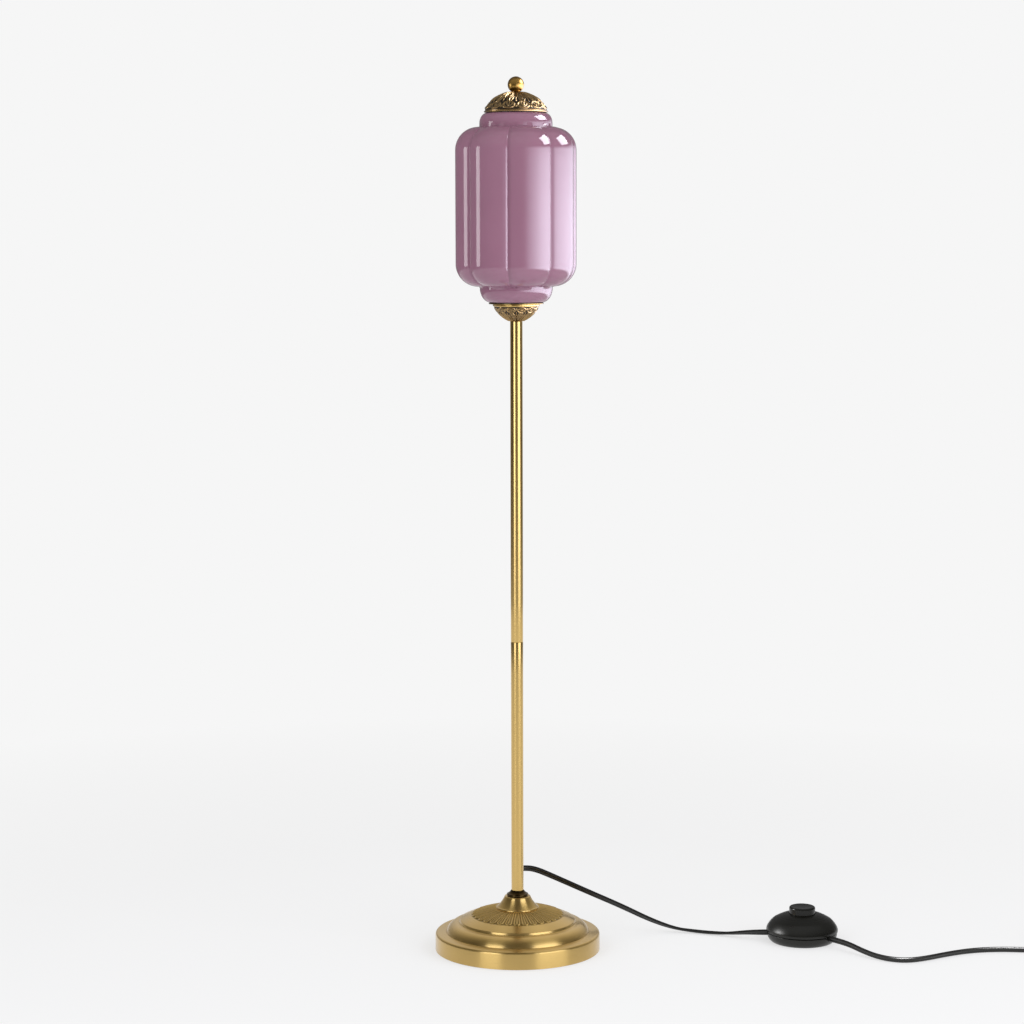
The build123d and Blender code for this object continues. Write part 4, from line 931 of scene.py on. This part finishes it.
class LAMP_OT_flex(LampPiece, bpy.types.Operator):
    """Lay the flat twin flex from the pole to the switch and on to its coil and plug"""

    bl_idname = "lamp.flex"
    bl_label = "Flex"

    lamp_side = [
        (0, 7.3, 104), (0, 25, 104), (0.6, 42, 103), (8, 58, 101), (24.5, 70, 97.3), (53, 77.5, 83.2),
        (100, 81.5, 61), (150, 83.5, 38.5), (190, 85, 18.5), (225, 84.5, 6), (252, 79.5, 3.4),
        (275, 70, 3.4), (300, 62, 4.4), (325, 50, 9), (347, 40.5, 11.7), (372, 39, 12),
    ]
    plug_side = [
        (424.5, 16.7, 12), (436, 4.9, 12), (449, -8.7, 11.9), (463, -23.5, 10.6), (478, -43, 7.2),
        (494, -62, 4.9), (513, -78, 4.5), (536, -83.5, 4.5), (563, -72, 4.5), (594, -51, 4.5),
        (632, -32, 4.5), (672, -26.5, 4.5), (712, -31, 4.6), (750, -33, 4.8),
    ]
    lead = [(850.3, 24, 13.6), (850.8, 36, 11.6), (851.5, 50, 7.85), (852, 64, 6.85)]
    # Where the coil lies, how far its turns stand from their mean radius, and the heights of its layers
    coil_middle = 0.8, 0.014
    coil_shift = 2.7 * mm
    coil_layers = 5.3 * mm, 14.1 * mm

    def coil(self, size):
        """Control points of the turns, 16 to each: the lower layer winds inwards and the upper one winds
        out again, (x + r cos u, y + r sin u), with r and the height eased from turn to turn. The points
        stand 1.9% further out than the line they make."""
        per_turn, turns = 16, 2 * size.coil_turns + 0.25
        (x, y), (low, high) = self.coil_middle, self.coil_layers
        k = np.arange(int(per_turn * turns) + 1)
        t = k / per_turn
        u = -pi / 2 + 2 * pi * t
        shift = np.interp(t, [0, 0.85, 1.25, 1.9, 2.3, 2.9, 3.4, 4.25], [1, 1, -1, -1, -1, -1, 1, 1])
        z = np.interp(t, [0, 1.8, 2.25, 4.25], [low, low, high, high])
        r = (size.coil_radius + self.coil_shift * shift) * 1.019
        return np.stack([x + r * np.cos(u), y + r * np.sin(u), z], 1)

    def section(self, size):
        """Outline of two cores joined by a web: half the thickness over x is the circle about each core's
        middle, or the web where that is more."""
        t = around(36)
        x = size.width / 2 * np.cos(t)
        core = size.thickness / 2
        off = np.abs(x) - (size.width / 2 - core)
        half = np.sqrt(np.maximum(core**2 - off**2, 0))
        half = np.where(np.abs(x) < core, np.maximum(half, size.web / 2), half)
        return np.stack([x, half * np.sign(np.sin(t) + 1e-9)], 1)

    def lay(self, name, route, rolls, size, exit, far_end, nodes, pieces):
        """One length of flex along the smooth line of a route. rolls gives the flex's turn about its own
        line, in degrees from lying flat, at shares of the length."""
        path = smooth_line(name, np.array(route))
        gone = np.r_[0, np.cumsum(np.linalg.norm(np.diff(path, axis=0), axis=1))]
        share, angle = np.array(rolls).T
        roll = np.radians(np.interp(gone / gone[-1], share, angle))
        soft = np.convolve(np.pad(roll, 8, "edge"), np.ones(17) / 17, "valid")
        grid = along_path(path, self.section(size), soft)
        piece = surface(name, grid, (path[0], path[-1]), crease=80)
        place(piece, "root", "black_flex", "extruded PVC", *nodes, light=flex_lights[far_end])
        print(name, "is", round(gone[-1], 4), "m long")

    def execute(self, context):
        size = context.scene.lamp_flex
        lamp_side = np.array(self.lamp_side) * mm
        rolls = [
            (0, 80), (0.25, 65), (0.55, 50), (0.66, 20), (0.7, 6),
            (0.81, 6), (0.88, 35), (0.95, 75), (1, 85),
        ]
        self.lay(
            "flex_lamp_side", lamp_side, rolls, size, (0, 0.026, 0.104), "fitting", ["cord_lamp_side"],
            ["switch_lid", "switch_tray", "switch_cap", "switch_block", "switch_feet", "switch_screws"],
        )
        plug_side = np.vstack([np.array(self.plug_side) * mm, self.coil(size), np.array(self.lead) * mm])
        rolls = [(0, 80), (0.03, 75), (0.08, 60), (0.19, 60), (0.235, 90), (0.95, 90), (0.985, 10), (1, 0)]
        self.lay(
            "flex_plug_side", plug_side, rolls, size, (0.4245, 0.0167, 0.012), "plug",
            ["cord_plug_side", "cord_coil", "cord_plug_lead"],
            ["plug_sleeve", "plug_shell", "plug_pins", "coil_band"],
        )
        return {"FINISHED"}


class LAMP_OT_fittings(LampPiece, bpy.types.Operator):
    """Mould the bushing, the plug and its strain relief, and wrap the tie round the coil"""

    bl_idname = "lamp.fittings"
    bl_label = "Bushing, tie and plug"

    def rod(self, name, x, z, y, wide, thick, power=1):
        """A piece of rings along y, closed at both ends."""
        grid = rings_along_y(x, z, y, wide, thick, power)
        return surface(name, grid, ((x, y[0], z), (x, y[-1], z)))

    def execute(self, context):
        low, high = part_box("cord_bushing")
        y = np.array([0, 1.2, 1.25, 3.65, 6.05, 8, 9, 10, 11, 12, 13, 14, 15, 16, 17, 18.7]) * mm + low.y
        r = np.array([5.4, 5.4, 7.6, 7.6, 6.4, 6.2, 6.1, 5.5, 6.0, 5.9, 5.3, 5.8, 5.7, 5.1, 5.5, 4.7]) * mm
        y, r = profile(np.stack([y, r], 1), soften=0.3 * mm, closed=False).T
        gland = self.rod("cord_gland", 0, (low.z + high.z) / 2, y, r, r)
        place(gland, "root", "black_rubber", "black rubber", "cord_bushing")

        low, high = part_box("coil_tie")
        centre, half = (low + high) / 2, (high - low) / 2
        inset = np.array([0, 0, 0.75 * mm, 0.75 * mm])
        y = centre.y + half.y * np.array([-1, 1, 1, -1])
        grid = rings_along_y(centre.x, centre.z, y, half.x - inset, half.z - inset, 0.5)
        place(surface("coil_band", grid), "root", "tie_band", "woven band", "coil_tie")

        low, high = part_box("plug_relief")
        x, z = (low.x + high.x) / 2, (low.z + high.z) / 2
        t = np.linspace(0, 1, 45)
        ribs = 0.45 * mm * np.clip(np.sin(t * 5 * 2 * pi), -1, 0.2) * (t < 0.92)
        r = 4.9 * mm + 1.55 * mm * t + ribs
        sleeve = self.rod("plug_sleeve", x, z, low.y + (high.y - low.y) * t, r, r)
        place(sleeve, "root", "black_plastic", "black rubber", "plug_relief")

        low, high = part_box("plug_body")
        t = np.r_[0, 0.03, np.linspace(0.08, 0.92, 28), 0.97, 1]
        edge = np.r_[0.86, 0.96, np.ones(28), 0.97, 0.88]
        wide = np.interp(t, [0, 0.25, 0.6, 1], [10.95, 13.4, 17.4, 17.65]) * mm * edge
        grip = 0.35 * mm * np.clip(np.sin((t - 0.1) * 40), -1, 0) * (t > 0.12) * (t < 0.62)
        shell = self.rod(
            "plug_shell", x, z, low.y + (high.y - low.y) * t, wide, 6.85 * mm * edge + grip, 0.55
        )
        place(shell, "root", "black_plastic", "moulded ABS", "plug_body")
        return {"FINISHED"}


class LAMP_OT_fit_out(LampPiece, bpy.types.Operator):
    """Give the CAD's own inner pieces their finishes"""

    bl_idname = "lamp.fit_out"
    bl_label = "Inner pieces"

    finishes = {
        "painted iron": ["base_weight"],
        "pressed felt": ["base_pad"],
        "turned brass": [
            "base_nipple", "top_nipple", "base_nut", "lock_nut", "finial_stud", "pole_coupling",
            "pole_foot_bush", "pole_top_bush", "holder_contact", "lamp_holder",
        ],
        "zinc plate": ["base_washer", "harp_saddle", "harp_frame", "switch_screws", "switch_spring"],
        "nickel plate": ["holder_sleeve", "bulb_cap", "plug_pins"],
        "frosted bulb": ["bulb_glass"],
        "silicone": ["shade_gasket", "cap_gasket", "holder_insulator"],
        "black rubber": ["switch_feet"],
        "extruded PVC": ["pole_flex"],
        "moulded ABS": ["switch_block"],
    }

    def execute(self, context):
        for name, nodes in self.finishes.items():
            for node in nodes:
                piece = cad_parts[node]
                piece.data.materials.clear()
                piece.data.materials.append(finish(name))
        return {"FINISHED"}


class LAMP_OT_stage(LampPiece, bpy.types.Operator):
    """Set the camera, the pale floor, the soft lamps and the dark flags that metal reflects"""

    bl_idname = "lamp.stage"
    bl_label = "Floor, light and camera"

    # The photograph's focal length and width in its pixels, the degrees that the camera looks down and
    # rolls, and where it stands
    focal, across = 2698, 1024
    down, roll = 6.023, -0.13
    stand = -0.0065, -3.70, 1.006

    def seen(self, tree):
        """Whether a ray comes from the camera, from gloss or through glass."""
        ray = add(tree, "LightPath")
        direct = add(
            tree, "Math", {0: (ray, "Is Camera Ray"), 1: (ray, "Is Glossy Ray")}, operation="MAXIMUM"
        )
        return add(tree, "Math", {0: direct, 1: (ray, "Is Transmission Ray")}, operation="MAXIMUM")

    def floor(self, tint):
        """A disc whose middle takes shadow and whose far part is the backdrop's even tone."""
        u, r = around(96), np.array([0.3, 1, 3, 8, 30])[:, None]
        floor = surface("floor", ringed(r, u, 0 * r), ((0, 0, 0), None))
        if floor.data.polygons[0].normal.z < 0:
            floor.data.flip_normals()
        material, tree = start_material("pale floor")
        away = add(tree, "VectorMath", {0: (add(tree, "TexCoord"), "Object")}, operation="LENGTH")
        near = ramp(tree, (away, "Value"), 0.7, 1.8, 0.36, 0.0)
        even = add(tree, "Emission", {"Color": rgba(tint)})
        lit = add(tree, "BsdfDiffuse", {"Color": (0.9, 0.9, 0.9, 1)})
        shown = add(tree, "MixShader", {0: near, 1: even, 2: lit})
        plain = add(tree, "BsdfDiffuse", {"Color": (0.8, 0.8, 0.8, 1)})
        both = add(tree, "MixShader", {0: self.seen(tree), 1: plain, 2: shown})
        add(tree, "OutputMaterial", {"Surface": both})
        floor.data.materials.append(material)

    def sky(self, tint, strength):
        """The backdrop's tone where it is seen, and an even soft light elsewhere."""
        world = bpy.data.worlds.new("studio")
        bpy.context.scene.world = world
        world.use_nodes = True
        tree = world.node_tree
        tree.nodes.clear()
        shown = add(tree, "Background", {"Color": rgba(tint), "Strength": 1.0})
        soft = add(tree, "Background", {"Color": (1, 0.99, 0.97, 1), "Strength": strength})
        both = add(tree, "MixShader", {0: self.seen(tree), 1: soft, 2: shown})
        add(tree, "OutputWorld", {"Surface": both})

    def lamp(
        self, name, azimuth, distance, height, size, radiance, group, aim=None, gloss=True, diffuse=True,
        tint=(1, 1, 1),
    ):
        """A soft box at an azimuth from the front, turned towards a height on the lamp's axis. Its power
        is pi times its area times its radiance. The group names the pieces that it lights or spares."""
        data = bpy.data.lights.new(name, "AREA")
        data.shape = "RECTANGLE"
        data.size, data.size_y = size
        data.energy = pi * size[0] * size[1] * radiance
        data.color = tint
        box = bpy.data.objects.new(name, data)
        bpy.context.scene.collection.objects.link(box)
        a = radians(azimuth)
        at = np.array((sin(a) * distance, -cos(a) * distance, height))
        back = at - np.array((0, 0, height if aim is None else aim))
        back /= np.linalg.norm(back)
        side = np.cross((0, 0, 1), back)
        side /= np.linalg.norm(side)
        up = np.cross(back, side)
        box.matrix_world = Matrix.Translation(at) @ Matrix(np.stack([side, up, back], 1)).to_4x4()
        box.visible_camera = False
        box.visible_glossy = gloss
        box.visible_diffuse = diffuse
        box.light_linking.receiver_collection = lamp_group(group)

    def panel(self, name, grid, glow, group, behind_shows=True, tint=(1, 1, 1)):
        """A far surface of a grid of points that only gloss sees. glow is its light at each point, and
        the group names the pieces that see it, or don't."""
        panel = surface(name, grid, (None, None))
        light = panel.data.attributes.new("glow", "FLOAT", "POINT")
        light.data.foreach_set("value", np.asarray(glow, np.float32).ravel())
        material, tree = start_material(name)
        bright = add(tree, "Attribute", attribute_name="glow")
        shader = add(tree, "Emission", {"Color": rgba(tint), "Strength": (bright, "Fac")})
        if behind_shows:
            shader = add(tree, "AddShader", {0: shader, 1: add(tree, "BsdfTransparent")})
        add(tree, "OutputMaterial", {"Surface": shader})
        material.cycles.emission_sampling = "NONE"
        panel.data.materials.append(material)
        panel.visible_camera = panel.visible_diffuse = False
        panel.visible_shadow = panel.visible_transmission = False
        panel.light_linking.receiver_collection = lamp_group(group)

    def surroundings(self):
        """The studio as gloss sees it, in directions (cos v cos u, cos v sin u, sin v). The tent is
        brightest about the direction 45 degrees up behind the lamp, and falls off with the angle from it.
        A dim tent, for the glossy dark pieces, is 0.1 bright, 0.2 behind and 0.55 high in front. A white
        wall beside a window, for the shade's pieces alone, grows from nothing in front to 9 at the
        right, and fades again behind."""
        u = around(120)
        v = np.linspace(0, pi / 2 * 0.999, 46)[:, None]
        way = ringed(np.cos(v), u, np.sin(v))
        off = np.degrees(np.arccos(np.clip(way @ np.array((0, cos(pi / 4), sin(pi / 4))), -1, 1)))
        angles = [0, 22, 35, 50, 66, 85, 110, 135]
        bright = np.interp(off, angles, [0.84, 0.8, 0.56, 0.3, 0.12, 0.06, 0.15, 0.2])
        bright *= 1 + 0.25 * way[..., 0]
        self.panel(
            "studio tent", 3.3 * way, bright, "flagged from the studio tent", False, (1, 0.96, 0.87)
        )

        turn = np.degrees(np.abs((u + pi / 2 + pi) % (2 * pi) - pi)) + 0 * v
        upper = np.clip((np.degrees(v) - 15) / 40, 0, 1) * np.clip((130 - turn) / 50, 0, 1)
        dim = 0.1 + 0.1 * np.clip((turn - 100) / 50, 0, 1) + 0.45 * upper
        self.panel("dim tent", 3.1 * way, dim, "dim tent")

        a = np.radians(np.linspace(-90, 270, 240, endpoint=False))
        height = np.linspace(-0.02, 1.55, 30)[:, None]
        wall = ringed(2.1 + 0 * height, a, height)
        turns = [0, 10, 18, 32, 47, 63, 80, 100, 116, 135, 150, 165]
        across = np.interp(np.degrees(a) + 90, turns, [0, 0.8, 2, 3.8, 5.8, 8.2, 9, 8.2, 6.3, 4, 1.7, 0])
        upright = np.interp(height, [0, 0.32, 1.03, 1.55], [0, 1, 1, 0])
        self.panel("window wall", wall, across * upright, "window", tint=(1, 0.99, 1.16))

    def execute(self, context):
        tint = context.scene.lamp_finishes.backdrop
        self.floor(tint)
        self.sky(tint, 0.68)
        self.surroundings()
        flagged = "flagged from the front boxes"
        cool = (1, 1.03, 1.13)
        self.lamp("left front box", -38, 2.6, 1.65, (1.3, 2.9), 2.45, flagged, tint=cool)
        self.lamp("right front box", 49, 2.4, 1.65, (2.0, 2.9), 2.45, flagged, tint=cool)
        self.lamp("glass fill", 38, 2.5, 1.4, (2.6, 2.4), 2.1, "window", gloss=False)
        self.lamp("left strip", -85.5, 1.6, 1.05, (0.46, 0.66), 4.8, "strip")
        self.lamp(
            "right window", 97, 1.7, 2.13, (1.3, 1.05), 13.0, "window", aim=1.1, diffuse=False, tint=cool
        )
        self.lamp("switch strip", -92, 1.6, 0.85, (0.6, 0.7), 28.0, "switch strip", diffuse=False)
        self.lamp("flex strip", 20, 1.2, 1.4, (1.6, 0.5), 80.0, "flex strip", aim=0, diffuse=False)

        data = bpy.data.cameras.new("camera")
        data.sensor_width = 36
        data.lens = self.focal / self.across * data.sensor_width
        data.clip_end = 100
        camera = bpy.data.objects.new("camera", data)
        bpy.context.scene.collection.objects.link(camera)
        tilt = Matrix.Rotation(radians(90 - self.down), 4, "X")
        turn = Matrix.Rotation(radians(self.roll), 4, "Z")
        camera.matrix_world = Matrix.Translation(self.stand) @ tilt @ turn
        context.scene.camera = camera
        context.scene.view_settings.view_transform = "Standard"
        return {"FINISHED"}


class LAMP_PT_panel(bpy.types.Panel):
    """Sizes, finishes and the operators that build the lamp"""

    bl_idname = "LAMP_PT_panel"
    bl_label = "Floor lamp"
    bl_space_type = "VIEW_3D"
    bl_region_type = "UI"
    bl_category = "Floor lamp"

    def draw(self, context):
        for name, group in groups.items():
            box = self.layout.box()
            box.label(text=group.bl_rna.name)
            for key in group.__annotations__:
                box.prop(getattr(context.scene, name), key)
        for operator in operators:
            self.layout.operator(operator.bl_idname)


groups = {
    "lamp_shade": ShadeSizes,
    "lamp_stand": StandSizes,
    "lamp_flex": FlexSizes,
    "lamp_switch": SwitchSizes,
    "lamp_finishes": Finishes,
}
operators = [
    LAMP_OT_stage,
    LAMP_OT_shade,
    LAMP_OT_cap,
    LAMP_OT_gallery,
    LAMP_OT_pole,
    LAMP_OT_base,
    LAMP_OT_switch,
    LAMP_OT_fittings,
    LAMP_OT_fit_out,
    LAMP_OT_flex,
]


def register():
    for kind in (*groups.values(), *operators, LAMP_PT_panel):
        bpy.utils.register_class(kind)
    for name, group in groups.items():
        setattr(bpy.types.Scene, name, PointerProperty(type=group))


def unregister():
    for name in groups:
        delattr(bpy.types.Scene, name)
    for kind in (LAMP_PT_panel, *reversed(operators), *reversed(groups.values())):
        bpy.utils.unregister_class(kind)


def main():
    """Builds the lamp."""
    register()
    for operator in operators:
        family, name = operator.bl_idname.split(".")
        getattr(getattr(bpy.ops, family), name)()


if __name__ == "__main__":
    main()
